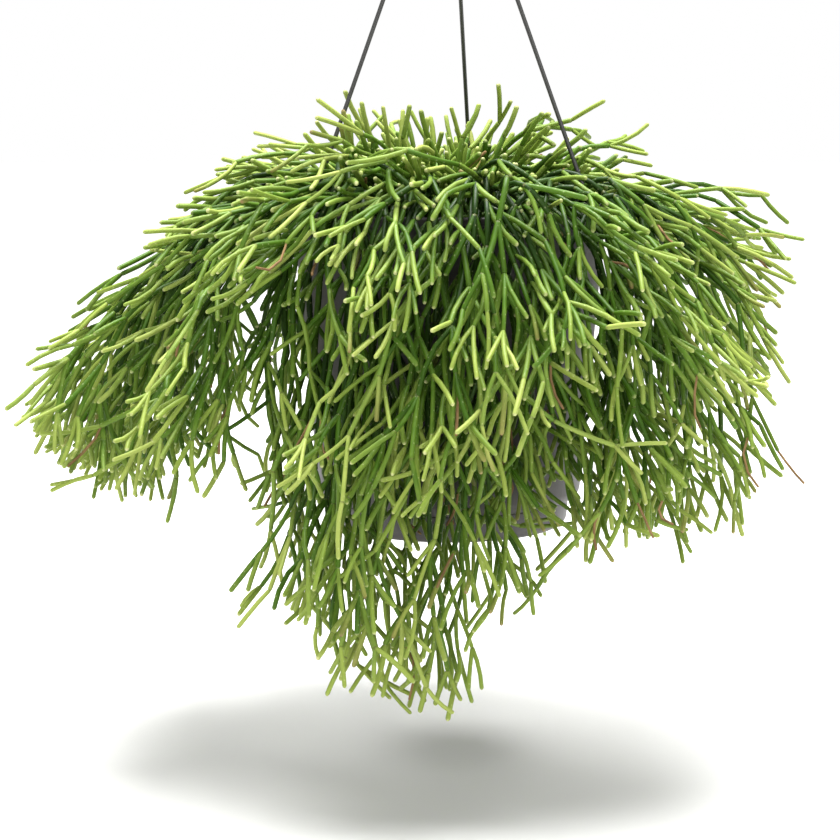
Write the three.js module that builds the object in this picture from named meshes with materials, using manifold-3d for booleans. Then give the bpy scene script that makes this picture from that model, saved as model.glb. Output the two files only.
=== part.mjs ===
// Mistletoe cactus (Rhipsalis) growing in a grey plastic hanging pot.
// Millimetres, +Z up. The origin is the point of the hook that bears on its support, on the pot's own axis.
// The plant's front faces -Y. Every solid is one closed mesh, and pieces that touch keep a gap of GAP.

import * as THREE from 'three';
import { mergeVertices } from 'three/addons/utils/BufferGeometryUtils.js';
import Module from 'manifold-3d';

const wasm = await Module();
wasm.setup();

// ---------------------------------------------------------------- driving dimensions

const GAP = 0.3; // clearance between pieces that touch
const CUT = 1; // how far a cutting tool runs past the face it cuts

// pot: a tapered shell with a flat rim, a turned-down lip and a rounded lower edge
const RIM_Z = -266; // top face of the rim
const RIM_RADIUS = 97;
const RIM_THICKNESS = 2.4;
const LIP_DEPTH = 5;
const POT_DEPTH = 169; // top of the rim to the underside of the floor
const POT_MOUTH_RADIUS = 90.5; // outside of the wall at the rim
const POT_TAPER = 0.084; // radius lost for each millimetre down
const POT_WALL = 1.8;
const POT_FLOOR = 2.2;
const POT_EDGE_RADIUS = 7;
const POT_SIDES = 30; // flats round the pot, which the soil in it shares
const DRAIN_HOLES = 6;
const DRAIN_RADIUS = 4;
const DRAIN_CIRCLE = 42;
const STUD_HOLE_RADIUS = 5;

// drip saucer: snapped under the floor by one barbed stud
const SAUCER_DEPTH = 16;
const SAUCER_RADIUS = 70;
const SAUCER_WALL = 1.8;
const SAUCER_EDGE_RADIUS = 6;
const STUD_RADIUS = 7;
const STUD_HEAD_RADIUS = 6;
const STUD_HEAD_HEIGHT = 4;

// potting soil
const SOIL_BELOW_RIM = 15;
const SOIL_CROWN = 3; // how far the middle stands above the edge
const ROOT_HOLE_DEPTH = 14;

// hanger: a hook with a hub, and three strands that clip into the rim
const HOOK_WIRE_RADIUS = 2.6;
const HOOK_INNER_RADIUS = 15;
const HUB_TOP_Z = -56;
const HUB_THICKNESS = 8;
const HUB_RADIUS = 13;
const HUB_HOLE_CIRCLE = 7.5;
const RIM_HOLE_CIRCLE = 94;
const STRAND_RADIUS = 1.2;
const STRAND_HEAD_RADIUS = 2.8;
const STRAND_HEAD_LENGTH = 2.4;
const STRAND_BUTTON_RADIUS = 3.3;
const STRAND_BUTTON_LENGTH = 3;
const EAR_RADIUS = 4.4; // the bosses under the rim that the strands pass through
const EAR_LENGTH = 7;
const EAR_CLEARANCE = 10; // from an ear's middle to the nearest stem's centre line
const STRAND_AZIMUTHS = { left: 213, right: 327, back: 81 };

// plant: three-sided stems, jointed end to end
const SPRAYS = 50; // rooted clumps, laid out like the seeds of a sunflower
const ROOT_CIRCLE = 76; // radius that the clumps fill
const ROOT_RADIUS = 3; // of the root stock's corners
const ROOT_COLLAR = 3; // height of the root stock above the soil
const STEM_RADIUS = 1.95; // of a stem's corners
const POT_MARGIN = 0.8; // least distance between a stem's corner and the pot
const STEM_SPACING = 4.5; // least distance between centre lines of stems that share no joint
const JOINT_ZONE = 10; // round a joint, where its own stems may come closer
const JOINT_PEAK = 0.45; // height of a joint's peak, in stem radii

// the shape of a main stem, from the crown to the trailing skirt:
// the radius and the height over the rim of its bend and of its end
const HABIT = [
  { bendRadius: 12, bendHeight: 8.5, radius: 26, height: 13.5 },
  { bendRadius: 46, bendHeight: 16, radius: 70, height: 14 },
  { bendRadius: 74, bendHeight: 23, radius: 108, height: 2 },
  { bendRadius: 98, bendHeight: 21, radius: 144, height: -26 },
  { bendRadius: 116, bendHeight: 22, radius: 154, height: -66 },
  { bendRadius: 130, bendHeight: 25, radius: 124, height: -116 },
];
const LEFT_REACH = 0.18; // how much further than HABIT main stems reach to the left, and less to the right
const SIDE_REACH = 0.05; // how much further they reach to both sides, and less to front and back
const SIDE_SAGS = [ // how much lower main stems bend and end towards the left, the back right and the right
  { azimuth: 190, bend: 13, end: 22 },
  { azimuth: 50, bend: 24, end: 20 },
  { azimuth: 0, bend: 11, end: 10 },
];
const SKIRT_LIFT = [ // azimuth, and how much higher the skirt ends there
  [0, -10],
  [60, 0],
  [130, 6],
  [180, 42],
  [212, 52],
  [232, 52],
  [248, 20],
  [270, 12],
  [292, 4],
  [318, -22],
  [345, -36],
  [360, -10],
];
const TAIL_DROP = 104; // the long tail that hangs left of the front
const TAIL_AZIMUTH = 252;
const TAIL_CORE = 13; // degrees from the tail's middle out to where it starts to shorten
const TAIL_EDGE = 23; // degrees from its middle to its edge
const TAIL_PULL = 9; // degrees that main stems beside the tail turn into it
const TAIL_PULL_WIDTH = 45; // degrees from the tail's middle out to where none turn
const FRONT = 270; // azimuth of the plant's front
const LIGHT_PULL = 18; // degrees that a main stem at the side turns to the front
const SKIRT_CLEARANCE = 14; // from the rim out to a main stem that ends below it
const MAIN_STEP = 37; // about how long the straight stretches of a main stem are
const MAIN_LEAN = 26; // how far from upright a main stem leaves its root, in degrees
const MAIN_RISE = [26, 42]; // how far it keeps that lean
const MAIN_FAN = [[-12, 12], [14, 36], [-36, -14]]; // degrees from the root's azimuth to each face's stem
const MAIN_PLACES = [0.06, -0.1, -0.1]; // how far along HABIT each face's stem is from its root's own place

// how a main stem bends aside: side steps tried at each point, each a little longer than the last
const SHIFT_TRIES = 40;
const SHIFT_GROWTH = 0.7;
const DRIFT_KEPT = 0.8; // share of the last side step that the next point keeps
const PATH_TRIES = 8; // paths tried for a main stem
const LEAST_POINTS = 4; // of a main stem's path
const SHOOT_TRIES = 14; // paths tried for a shoot, each a little shorter than the last
const SHOOT_SHORTENING = 0.03;
const SHOOT_SWING = 16; // degrees that a shoot swings sideways out of its face
const SHOOT_WANDER = 0.12; // how much its direction wanders at each step

// the joints after a main stem: how many faces bear a shoot, and how long, bent, spread and drooping it is
const SHOOTS = [
  { share: 0.92, length: [26, 44], steps: 2, tilt: [14, 34], droop: 0.26 },
  { share: 0.6, length: [22, 36], steps: 1, tilt: [18, 38], droop: 0.22 },
  { share: 0.41, length: [18, 30], steps: 1, tilt: [18, 40], droop: 0.16 },
];

// ---------------------------------------------------------------- materials

const plastic = (color, roughness) => new THREE.MeshStandardMaterial({ color, roughness, metalness: 0 });
const potPlastic = plastic(0x5b5856, 0.55);
const hangerPlastic = plastic(0x4c4c48, 0.5);
const soilMaterial = new THREE.MeshStandardMaterial({ color: 0x33261c, roughness: 0.95, metalness: 0 });
const stemMaterials = [0x4c7526, 0x628c2f, 0x7d9f42].map((color) => {
  return new THREE.MeshStandardMaterial({ color, roughness: 0.45, metalness: 0 });
});

// ---------------------------------------------------------------- solids

const UP = new THREE.Vector3(0, 0, 1);
const GOLDEN_ANGLE = 137.508; // degrees from one seed of a sunflower to the next
const SOIL_Z = RIM_Z - SOIL_BELOW_RIM;
const { clamp, degToRad: turn, euclideanModulo, lerp: mix, smoothstep } = THREE.MathUtils;

/** A closed geometry as a manifold solid: its vertices merged, flat triangles dropped, facing outward. */
function solid(geometry) {
  const bare = geometry.clone();
  bare.deleteAttribute('normal');
  bare.deleteAttribute('uv');
  const merged = mergeVertices(bare, 1e-4);
  const points = merged.attributes.position;
  const corners = merged.index.array;
  const triangles = [];
  const [a, b, c] = [new THREE.Vector3(), new THREE.Vector3(), new THREE.Vector3()];
  let volume = 0;
  for (let i = 0; i < corners.length; i += 3) {
    const [p, q, r] = corners.slice(i, i + 3);
    if (p === q || q === r || r === p) continue;
    triangles.push(p, q, r);
    a.fromBufferAttribute(points, p);
    b.fromBufferAttribute(points, q);
    c.fromBufferAttribute(points, r);
    volume += a.dot(b.cross(c));
  }
  if (volume < 0) triangles.reverse();
  const triVerts = new Uint32Array(triangles);
  return new wasm.Manifold(new wasm.Mesh({ numProp: 3, vertProperties: points.array, triVerts }));
}

/** The mesh of a manifold solid, under its node's name. */
function meshOf(name, body, material) {
  const { vertProperties, triVerts } = body.getMesh();
  const geometry = new THREE.BufferGeometry();
  geometry.setAttribute('position', new THREE.BufferAttribute(vertProperties, 3));
  geometry.setIndex(new THREE.BufferAttribute(triVerts, 1));
  const mesh = new THREE.Mesh(geometry, material);
  mesh.name = name;
  return mesh;
}

/** A body turned about +Z from a profile of [radius, height] points. */
function turned(profile, sides) {
  const points = profile.map(([radius, z]) => new THREE.Vector2(radius, z));
  return solid(new THREE.LatheGeometry(points, sides).rotateX(Math.PI / 2));
}

/** A straight round rod between two points, or a cone where the radii differ. */
function rod(from, to, startRadius, endRadius, sides) {
  const along = to.clone().sub(from);
  const middle = from.clone().add(to).multiplyScalar(0.5);
  const geometry = new THREE.CylinderGeometry(endRadius, startRadius, along.length(), sides);
  const lean = new THREE.Quaternion().setFromUnitVectors(new THREE.Vector3(0, 1, 0), along.normalize());
  return solid(geometry.applyQuaternion(lean).translate(middle.x, middle.y, middle.z));
}

/** Points of an arc from one angle to another, in degrees, as [radius, height]. */
function arc(centreRadius, centreZ, radius, start, end, steps) {
  return Array.from({ length: steps + 1 }, (_, i) => {
    const angle = turn(start + ((end - start) * i) / steps);
    return [centreRadius + radius * Math.cos(angle), centreZ + radius * Math.sin(angle)];
  });
}

/** A point at an azimuth in degrees, a distance from the pot's axis and a height. */
function polar(azimuth, radius, z) {
  const angle = turn(azimuth);
  return new THREE.Vector3(radius * Math.cos(angle), radius * Math.sin(angle), z);
}

/** The corner radius that makes a regular polygon clear a round rod of this radius. */
const clearing = (radius, sides) => radius / Math.cos(Math.PI / sides);

// ---------------------------------------------------------------- hanger lines

/** A strand's centre line, from the hub's middle to the rim's top, and a point on it below another. */
const strandLines = Object.entries(STRAND_AZIMUTHS).map(([side, azimuth]) => {
  const top = polar(azimuth, HUB_HOLE_CIRCLE, HUB_TOP_Z - HUB_THICKNESS / 2);
  const bottom = polar(azimuth, RIM_HOLE_CIRCLE, RIM_Z);
  const direction = bottom.clone().sub(top).normalize();
  const at = (start, distance) => start.clone().addScaledVector(direction, distance);
  return { side, top, bottom, at };
});

// ---------------------------------------------------------------- pot

/** The radius of the pot's outer wall at a depth below the rim. */
const potRadius = (depth) => POT_MOUTH_RADIUS - POT_TAPER * depth;

function makePot() {
  const underside = RIM_Z - POT_DEPTH;
  const edgeZ = underside + POT_EDGE_RADIUS;
  const edgeRadius = potRadius(POT_DEPTH - POT_EDGE_RADIUS) - POT_EDGE_RADIUS;
  const underRim = RIM_Z - RIM_THICKNESS;
  const shell = turned([
    [STUD_HOLE_RADIUS, underside],
    ...arc(edgeRadius, edgeZ, POT_EDGE_RADIUS, -90, 0, 3),
    [potRadius(RIM_THICKNESS), underRim],
    [RIM_RADIUS - POT_WALL, underRim],
    [RIM_RADIUS - POT_WALL, RIM_Z - LIP_DEPTH],
    [RIM_RADIUS, RIM_Z - LIP_DEPTH],
    [RIM_RADIUS, RIM_Z - 0.8],
    [RIM_RADIUS - 0.8, RIM_Z],
    [POT_MOUTH_RADIUS - POT_WALL, RIM_Z],
    ...arc(edgeRadius, edgeZ, POT_EDGE_RADIUS - POT_WALL, 0, -70, 2),
    [edgeRadius - 2, underside + POT_FLOOR],
    [STUD_HOLE_RADIUS, underside + POT_FLOOR],
    [STUD_HOLE_RADIUS, underside],
  ], POT_SIDES);

  let body = shell;
  for (const { at, bottom } of strandLines) {
    const ear = rod(at(bottom, RIM_THICKNESS * 0.8), at(bottom, EAR_LENGTH), EAR_RADIUS, EAR_RADIUS, 8);
    body = body.add(ear);
  }
  for (const { at, bottom } of strandLines) {
    const radius = clearing(STRAND_RADIUS + GAP, 8);
    body = body.subtract(rod(at(bottom, -4 * CUT), at(bottom, EAR_LENGTH + CUT), radius, radius, 8));
  }
  for (let i = 0; i < DRAIN_HOLES; i += 1) {
    const low = polar((360 / DRAIN_HOLES) * i, DRAIN_CIRCLE, underside - CUT);
    const high = low.clone().setZ(underside + POT_FLOOR + CUT);
    body = body.subtract(rod(low, high, DRAIN_RADIUS, DRAIN_RADIUS, 8));
  }
  return meshOf('pot', body, potPlastic);
}

// ---------------------------------------------------------------- drip saucer

function makeSaucer() {
  const potUnderside = RIM_Z - POT_DEPTH;
  const potFloorTop = potUnderside + POT_FLOOR;
  const bottom = potUnderside - SAUCER_DEPTH;
  const edgeZ = bottom + SAUCER_EDGE_RADIUS;
  const edgeRadius = SAUCER_RADIUS - 0.6 - SAUCER_EDGE_RADIUS;
  const headZ = potFloorTop + GAP;
  const neck = STUD_HOLE_RADIUS - GAP;
  return meshOf('drip_saucer', turned([
    [0, bottom],
    ...arc(edgeRadius, edgeZ, SAUCER_EDGE_RADIUS, -90, 0, 3),
    [SAUCER_RADIUS, potUnderside - GAP],
    [SAUCER_RADIUS - SAUCER_WALL, potUnderside - GAP],
    ...arc(edgeRadius, edgeZ, SAUCER_EDGE_RADIUS - SAUCER_WALL, 0, -90, 2),
    [STUD_RADIUS, bottom + SAUCER_WALL],
    [STUD_RADIUS, potUnderside - GAP],
    [neck, potUnderside - GAP],
    [neck, headZ],
    [STUD_HEAD_RADIUS, headZ],
    [STUD_HEAD_RADIUS, headZ + 1],
    [STUD_HEAD_RADIUS / 2, headZ + STUD_HEAD_HEIGHT],
    [0, headZ + STUD_HEAD_HEIGHT],
  ], 26), potPlastic);
}

// ---------------------------------------------------------------- hanger

function makeHook() {
  const radius = HOOK_INNER_RADIUS + HOOK_WIRE_RADIUS; // of the bight's centre line
  const centreZ = -HOOK_INNER_RADIUS;
  const onBight = (degrees, out = 0) => {
    const angle = turn(degrees);
    return new THREE.Vector3((radius + out) * Math.cos(angle), 0, centreZ + (radius + out) * Math.sin(angle));
  };
  const bight = [-45, -15, 15, 45, 70, 90, 110, 135, 165, 190].map((degrees) => onBight(degrees));
  const path = new THREE.CatmullRomCurve3([
    new THREE.Vector3(0, 0, HUB_TOP_Z - HUB_THICKNESS / 2),
    new THREE.Vector3(0, 0, HUB_TOP_Z + 7),
    ...bight,
    onBight(208, 3), // the tip turns outward to let a rail in
  ], false, 'centripetal');
  const round = new THREE.EllipseCurve(0, 0, HOOK_WIRE_RADIUS, HOOK_WIRE_RADIUS);
  const section = new THREE.Shape(round.getPoints(8).slice(0, 8));
  const wire = solid(new THREE.ExtrudeGeometry(section, { extrudePath: path, steps: 20 }));
  const hub = turned([
    [0, HUB_TOP_Z - HUB_THICKNESS],
    [HUB_RADIUS - 1, HUB_TOP_Z - HUB_THICKNESS],
    [HUB_RADIUS, HUB_TOP_Z - HUB_THICKNESS + 1],
    [HUB_RADIUS, HUB_TOP_Z - 1],
    [HUB_RADIUS - 1, HUB_TOP_Z],
    [0, HUB_TOP_Z],
  ], 16);
  let body = hub.add(wire);
  for (const { at, top } of strandLines) {
    const bore = clearing(STRAND_RADIUS + GAP, 8);
    const pocket = clearing(STRAND_HEAD_RADIUS + GAP, 8);
    body = body.subtract(rod(at(top, -HUB_THICKNESS), at(top, HUB_THICKNESS), bore, bore, 8));
    body = body.subtract(rod(at(top, -HUB_THICKNESS), top, pocket, pocket, 8));
  }
  return meshOf('hanger_hook', body, hangerPlastic);
}

function makeStrand({ side, at, top, bottom }) {
  const head = at(top, -GAP);
  const button = at(bottom, EAR_LENGTH + GAP);
  const middle = STRAND_BUTTON_LENGTH / 2;
  const body = rod(at(head, -STRAND_HEAD_LENGTH / 2), at(button, middle), STRAND_RADIUS, STRAND_RADIUS, 8)
    .add(rod(at(head, -STRAND_HEAD_LENGTH), head, STRAND_HEAD_RADIUS, STRAND_HEAD_RADIUS, 8))
    .add(rod(button, at(button, STRAND_BUTTON_LENGTH), STRAND_BUTTON_RADIUS, STRAND_RADIUS, 8));
  return meshOf(`hanger_strand_${side}`, body, hangerPlastic);
}

// ---------------------------------------------------------------- how the plant grows

/** Repeatable random numbers between two limits (mulberry32). */
function seededRandom(seed) {
  let state = seed;
  return (low, high) => {
    state = (state + 0x6d2b79f5) | 0;
    let bits = Math.imul(state ^ (state >>> 15), 1 | state);
    bits = (bits + Math.imul(bits ^ (bits >>> 7), 61 | bits)) ^ bits;
    return low + ((high - low) * ((bits ^ (bits >>> 14)) >>> 0)) / 4294967296;
  };
}

/** A random point within a distance of the origin along each axis. */
function randomOffset(random, size) {
  return new THREE.Vector3(random(-size, size), random(-size, size), random(-size, size));
}

/** Space that finished stems take up: points along them, kept by cell. */
const taken = new Map();
const cellOf = (value) => Math.floor(value / STEM_SPACING) + 500;
const cellKey = (i, j, k) => (i * 1000 + j) * 1000 + k;
const STEPS = [-1, 0, 1];
const NEIGHBOURS = STEPS.flatMap((x) => STEPS.flatMap((y) => STEPS.map((z) => [x, y, z])));

/** Points along a straight stretch, close enough together that nothing slips between them. */
function samples(from, to) {
  const count = Math.ceil(from.distanceTo(to) / 2);
  return Array.from({ length: count }, (_, i) => from.clone().lerp(to, (i + 1) / count));
}

/** Marks the space along a finished stem as taken by it. */
function take(stem) {
  for (let i = 1; i < stem.path.length; i += 1) {
    for (const point of samples(stem.path[i - 1], stem.path[i])) {
      const key = cellKey(cellOf(point.x), cellOf(point.y), cellOf(point.z));
      if (!taken.has(key)) taken.set(key, []);
      taken.get(key).push({ point, stem });
    }
  }
}

/** The middle of each ear with the button under it. */
const earMiddles = strandLines.map(({ at, bottom }) => at(bottom, (EAR_LENGTH + STRAND_BUTTON_LENGTH) / 2));

/** True where a stem's centre line keeps off the pot, its ears, its soil and the space under it. */
function clearsPot(point) {
  const radius = Math.hypot(point.x, point.y);
  const depth = RIM_Z - point.z;
  const margin = STEM_RADIUS + POT_MARGIN;
  if (earMiddles.some((middle) => middle.distanceTo(point) < EAR_CLEARANCE)) return false;
  if (depth < -margin) return true;
  const aboveSoil = depth < SOIL_BELOW_RIM - SOIL_CROWN - margin;
  if (aboveSoil && radius < POT_MOUTH_RADIUS - POT_WALL - margin) return true;
  if (depth < LIP_DEPTH + margin) return radius > RIM_RADIUS + margin;
  return radius > potRadius(Math.min(depth, POT_DEPTH)) + margin;
}

/** True where a straight stretch clears the pot and every stem but its kin close to their joint. A main
 * stem may pass close over the soil while it is near its root, and not lower than its joint. */
function isClear(from, to, joint, kin) {
  for (const point of samples(from, to)) {
    const nearJoint = point.distanceTo(joint) < JOINT_ZONE;
    const overRoot = nearJoint && kin[0].isRoot && point.z > joint.z;
    if (!overRoot && !clearsPot(point)) return false;
    const [i, j, k] = [cellOf(point.x), cellOf(point.y), cellOf(point.z)];
    for (const [x, y, z] of NEIGHBOURS) {
      for (const other of taken.get(cellKey(i + x, j + y, k + z)) ?? []) {
        if (nearJoint && kin.includes(other.stem) && other.point.distanceTo(joint) < JOINT_ZONE) continue;
        if (point.distanceTo(other.point) < STEM_SPACING) return false;
      }
    }
  }
  return true;
}

/** A direction across an axis, turned about it from the spoke by an angle in degrees. */
function across(axis, spoke, degrees) {
  const straight = spoke.clone().addScaledVector(axis, -spoke.dot(axis)).normalize();
  return straight.applyAxisAngle(axis, turn(degrees));
}

/** A stem along a path that starts at its joint. Its sections are triangles with one corner on the spoke. */
function makeStem(parent, face, path, spoke) {
  const legs = path.slice(1).map((point, i) => point.clone().sub(path[i]).normalize());
  let carried = spoke;
  const sections = legs.map((leg, i) => {
    const axis = i + 1 < legs.length ? leg.clone().add(legs[i + 1]).normalize() : leg;
    carried = across(axis, carried, 0);
    return { centre: path[i + 1], axis, spoke: carried };
  });
  const stem = { path, sections, axis: sections.at(-1).axis, spoke: carried, shoots: [] };
  if (!parent) return stem;
  stem.id = parent.id * 4 + face + 1;
  parent.shoots[face] = stem;
  return stem;
}

/** The direction in which one of the three faces at a stem's end looks, square to the stem. */
const faceWay = (stem, face) => across(stem.axis, stem.spoke, 180 + 120 * face);

/** The way from the middle of a face at a stem's end to the peak that the three faces share. */
const peakWay = (stem, face) => stem.axis.clone().multiplyScalar(2 * JOINT_PEAK).sub(faceWay(stem, face));

/** A direction that leaves a face of a joint at a tilt from the stem before it. */
function wayOut(stem, face, tilt, swing) {
  const sideways = faceWay(stem, face).applyAxisAngle(stem.axis, turn(swing));
  const way = stem.axis.clone().multiplyScalar(Math.cos(turn(tilt)));
  return way.addScaledVector(sideways, Math.sin(turn(tilt)));
}

/** The root stock of a clump, upright in its hole, with its first face outward. */
function makeRoot(index) {
  const share = (index + 0.5) / SPRAYS;
  const azimuth = index * GOLDEN_ANGLE;
  const foot = polar(azimuth, ROOT_CIRCLE * Math.sqrt(share), SOIL_Z - ROOT_HOLE_DEPTH + GAP);
  const top = foot.clone().setZ(SOIL_Z + SOIL_CROWN + ROOT_COLLAR);
  const root = makeStem(null, 0, [foot, top], polar(azimuth + 180, 1, 0));
  return Object.assign(root, { id: index + 1, isRoot: true, share, azimuth });
}

/** The cosine of an angle in degrees. */
const cosine = (degrees) => Math.cos(turn(degrees));

/** How far the plant reaches at an azimuth: most to the left, least to the right. */
const reachAt = (azimuth) => 1 - LEFT_REACH * cosine(azimuth) + SIDE_REACH * cosine(2 * azimuth);

/** How much lower it trails at an azimuth, in millimetres. */
const tailAt = (azimuth) => {
  return TAIL_DROP * smoothstep(cosine(azimuth - TAIL_AZIMUTH), cosine(TAIL_EDGE), cosine(TAIL_CORE));
};

/** How much higher the skirt ends at an azimuth, in millimetres. */
function skirtLiftAt(azimuth) {
  const way = euclideanModulo(azimuth, 360);
  const next = SKIRT_LIFT.findIndex(([to]) => way < to);
  const [[from, low], [to, high]] = [SKIRT_LIFT[next - 1], SKIRT_LIFT[next]];
  return mix(low, high, (way - from) / (to - from));
}

/** A main stem's azimuth: near its root's own, drawn to the front, where the light is, and into the tail. */
function mainAzimuth(root, face, random) {
  const own = root.azimuth + random(...MAIN_FAN[face]);
  const lit = own - LIGHT_PULL * Math.sin(turn(own - FRONT));
  const beside = euclideanModulo(lit - TAIL_AZIMUTH + 180, 360) - 180;
  if (Math.abs(beside) > TAIL_PULL_WIDTH) return lit;
  return lit - TAIL_PULL * Math.sin((Math.PI * beside) / TAIL_PULL_WIDTH);
}

/** The bend and the end of the main stem from one face of a root. */
function mainTarget(root, face, random) {
  const azimuth = mainAzimuth(root, face, random);
  const place = clamp(root.share ** 0.8 + MAIN_PLACES[face] + random(-0.1, 0.1), 0, 0.999);
  const along = place * (HABIT.length - 1);
  const [low, high] = [HABIT[Math.floor(along)], HABIT[Math.floor(along) + 1]];
  const at = (key) => mix(low[key], high[key], along % 1);
  const reach = mix(1, reachAt(azimuth), smoothstep(place, 0.45, 0.85)) + random(-0.1, 0.08);
  const sagOf = (key) => {
    const sags = SIDE_SAGS.map((side) => side[key] * Math.max(0, cosine(azimuth - side.azimuth)));
    return sags.reduce((sum, sag) => sum + sag, 0) * smoothstep(place, 0.2, 0.6);
  };
  const lift = skirtLiftAt(azimuth) * smoothstep(place, 0.55, 1);
  const tail = tailAt(azimuth) * smoothstep(place, 0.4, 0.6) * random(0.7, 1);
  const height = at('height') - sagOf('end') + lift - tail + random(-10, 8);
  const nearest = height < 0 ? RIM_RADIUS + SKIRT_CLEARANCE : 0;
  const bendHeight = at('bendHeight') - sagOf('bend') + tail * 0.3;
  return {
    bend: polar(azimuth, at('bendRadius') * reach, RIM_Z + bendHeight),
    end: polar(azimuth + random(-5, 5), Math.max(at('radius') * reach, nearest), RIM_Z + height),
  };
}

/** The path of a main stem: it rises from its root, arches over the rim and bends aside for others. */
function mainPath(root, face, random) {
  const { bend, end } = mainTarget(root, face, random);
  const joint = root.path.at(-1);
  const rise = joint.clone().add(wayOut(root, face, MAIN_LEAN, 0).multiplyScalar(random(...MAIN_RISE)));
  const curve = new THREE.CubicBezierCurve3(joint, rise, bend, end);
  const steps = Math.max(3, Math.round(curve.getLength() / MAIN_STEP));

  const path = [joint];
  const kin = [root, ...root.shoots];
  let drift = new THREE.Vector3();
  for (let i = 1; i <= steps; i += 1) {
    const aim = curve.getPoint(i / steps);
    const shifts = Array.from({ length: SHIFT_TRIES }, (_, tries) => {
      return drift.clone().multiplyScalar(DRIFT_KEPT).add(randomOffset(random, tries * SHIFT_GROWTH));
    });
    const shift = shifts.find((way) => isClear(path.at(-1), aim.clone().add(way), joint, kin));
    if (!shift) break;
    drift = shift;
    path.push(aim.add(shift));
  }
  return path;
}

/** A main stem from one face of a root, drawn again where its first path is cut short. */
function growMain(root, face) {
  const random = seededRandom(root.id * 4 + face + 1);
  for (let tries = 0; tries < PATH_TRIES; tries += 1) {
    const path = mainPath(root, face, random);
    if (path.length < LEAST_POINTS) continue;
    const stem = makeStem(root, face, path, peakWay(root, face));
    take(stem);
    return [stem];
  }
  return [];
}

/** The shoots from the end of a stem, one from each face that bears one. */
function growShoots(parent, { share, length, steps, tilt, droop }) {
  const joint = parent.path.at(-1);
  return [0, 1, 2].flatMap((face) => {
    const random = seededRandom(parent.id * 4 + face + 1);
    if (random(0, 1) > share) return [];
    const kin = [parent, ...parent.shoots];
    for (let tries = 0; tries < SHOOT_TRIES; tries += 1) {
      const way = wayOut(parent, face, random(...tilt), random(-SHOOT_SWING, SHOOT_SWING));
      way.addScaledVector(UP, -droop).normalize();
      const reach = random(...length) * (1 - tries * SHOOT_SHORTENING);
      const path = [joint];
      for (let i = 0; i < steps; i += 1) {
        path.push(path.at(-1).clone().addScaledVector(way, reach / steps));
        way.addScaledVector(UP, -droop).add(randomOffset(random, SHOOT_WANDER)).normalize();
      }
      if (path.slice(1).every((to, i) => isClear(path[i], to, joint, kin))) {
        const stem = makeStem(parent, face, path, peakWay(parent, face));
        take(stem);
        return [stem];
      }
    }
    return [];
  });
}

/** Every clump of the plant, grown a joint at a time so that outer shoots find room between inner ones. */
function growPlant() {
  const roots = Array.from({ length: SPRAYS }, (_, index) => makeRoot(index));
  roots.forEach(take);
  strandLines.forEach(({ top, bottom }) => take({ path: [top, bottom] }));
  let stems = [0, 1, 2].flatMap((face) => roots.flatMap((root) => growMain(root, face)));
  for (const shoots of SHOOTS) {
    stems = stems.flatMap((stem) => growShoots(stem, shoots));
  }
  return roots;
}

// ---------------------------------------------------------------- the plant's solids

/** Adds a stem and its shoots to a mesh, from the three corners that it starts from. */
function addStem(stem, start, radius, mesh) {
  let corners = start;
  for (const { centre, axis, spoke } of stem.sections) {
    const next = [120, 240, 0].map((degrees) => {
      mesh.points.push(centre.clone().addScaledVector(across(axis, spoke, degrees), radius));
      return mesh.points.length - 1;
    });
    [0, 1, 2].forEach((i) => {
      const j = (i + 1) % 3;
      mesh.triangles.push(corners[i], corners[j], next[j], corners[i], next[j], next[i]);
    });
    corners = next;
  }
  if (!stem.shoots.some(Boolean)) {
    mesh.triangles.push(...corners);
    return;
  }
  mesh.points.push(stem.path.at(-1).clone().addScaledVector(stem.axis, JOINT_PEAK * radius));
  const peak = mesh.points.length - 1;
  [0, 1, 2].forEach((face) => {
    const edge = [corners[face], corners[(face + 1) % 3], peak];
    if (stem.shoots[face]) {
      addStem(stem.shoots[face], edge, STEM_RADIUS, mesh);
    } else {
      mesh.triangles.push(...edge);
    }
  });
}

/** A whole clump as one closed mesh, from the foot of its root stock to its furthest tips. */
function makeSpray(root) {
  const mesh = { points: [], triangles: [] };
  const foot = [120, 240, 0].map((degrees) => across(UP, root.spoke, degrees).multiplyScalar(ROOT_RADIUS));
  foot.forEach((corner) => mesh.points.push(corner.add(root.path[0])));
  mesh.triangles.push(2, 1, 0);
  addStem(root, [0, 1, 2], ROOT_RADIUS, mesh);
  const geometry = new THREE.BufferGeometry().setFromPoints(mesh.points).setIndex(mesh.triangles);
  const spray = new THREE.Mesh(geometry, stemMaterials[root.id % stemMaterials.length]);
  spray.name = `spray_${String(root.id).padStart(2, '0')}`;
  return spray;
}

// ---------------------------------------------------------------- potting soil

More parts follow.
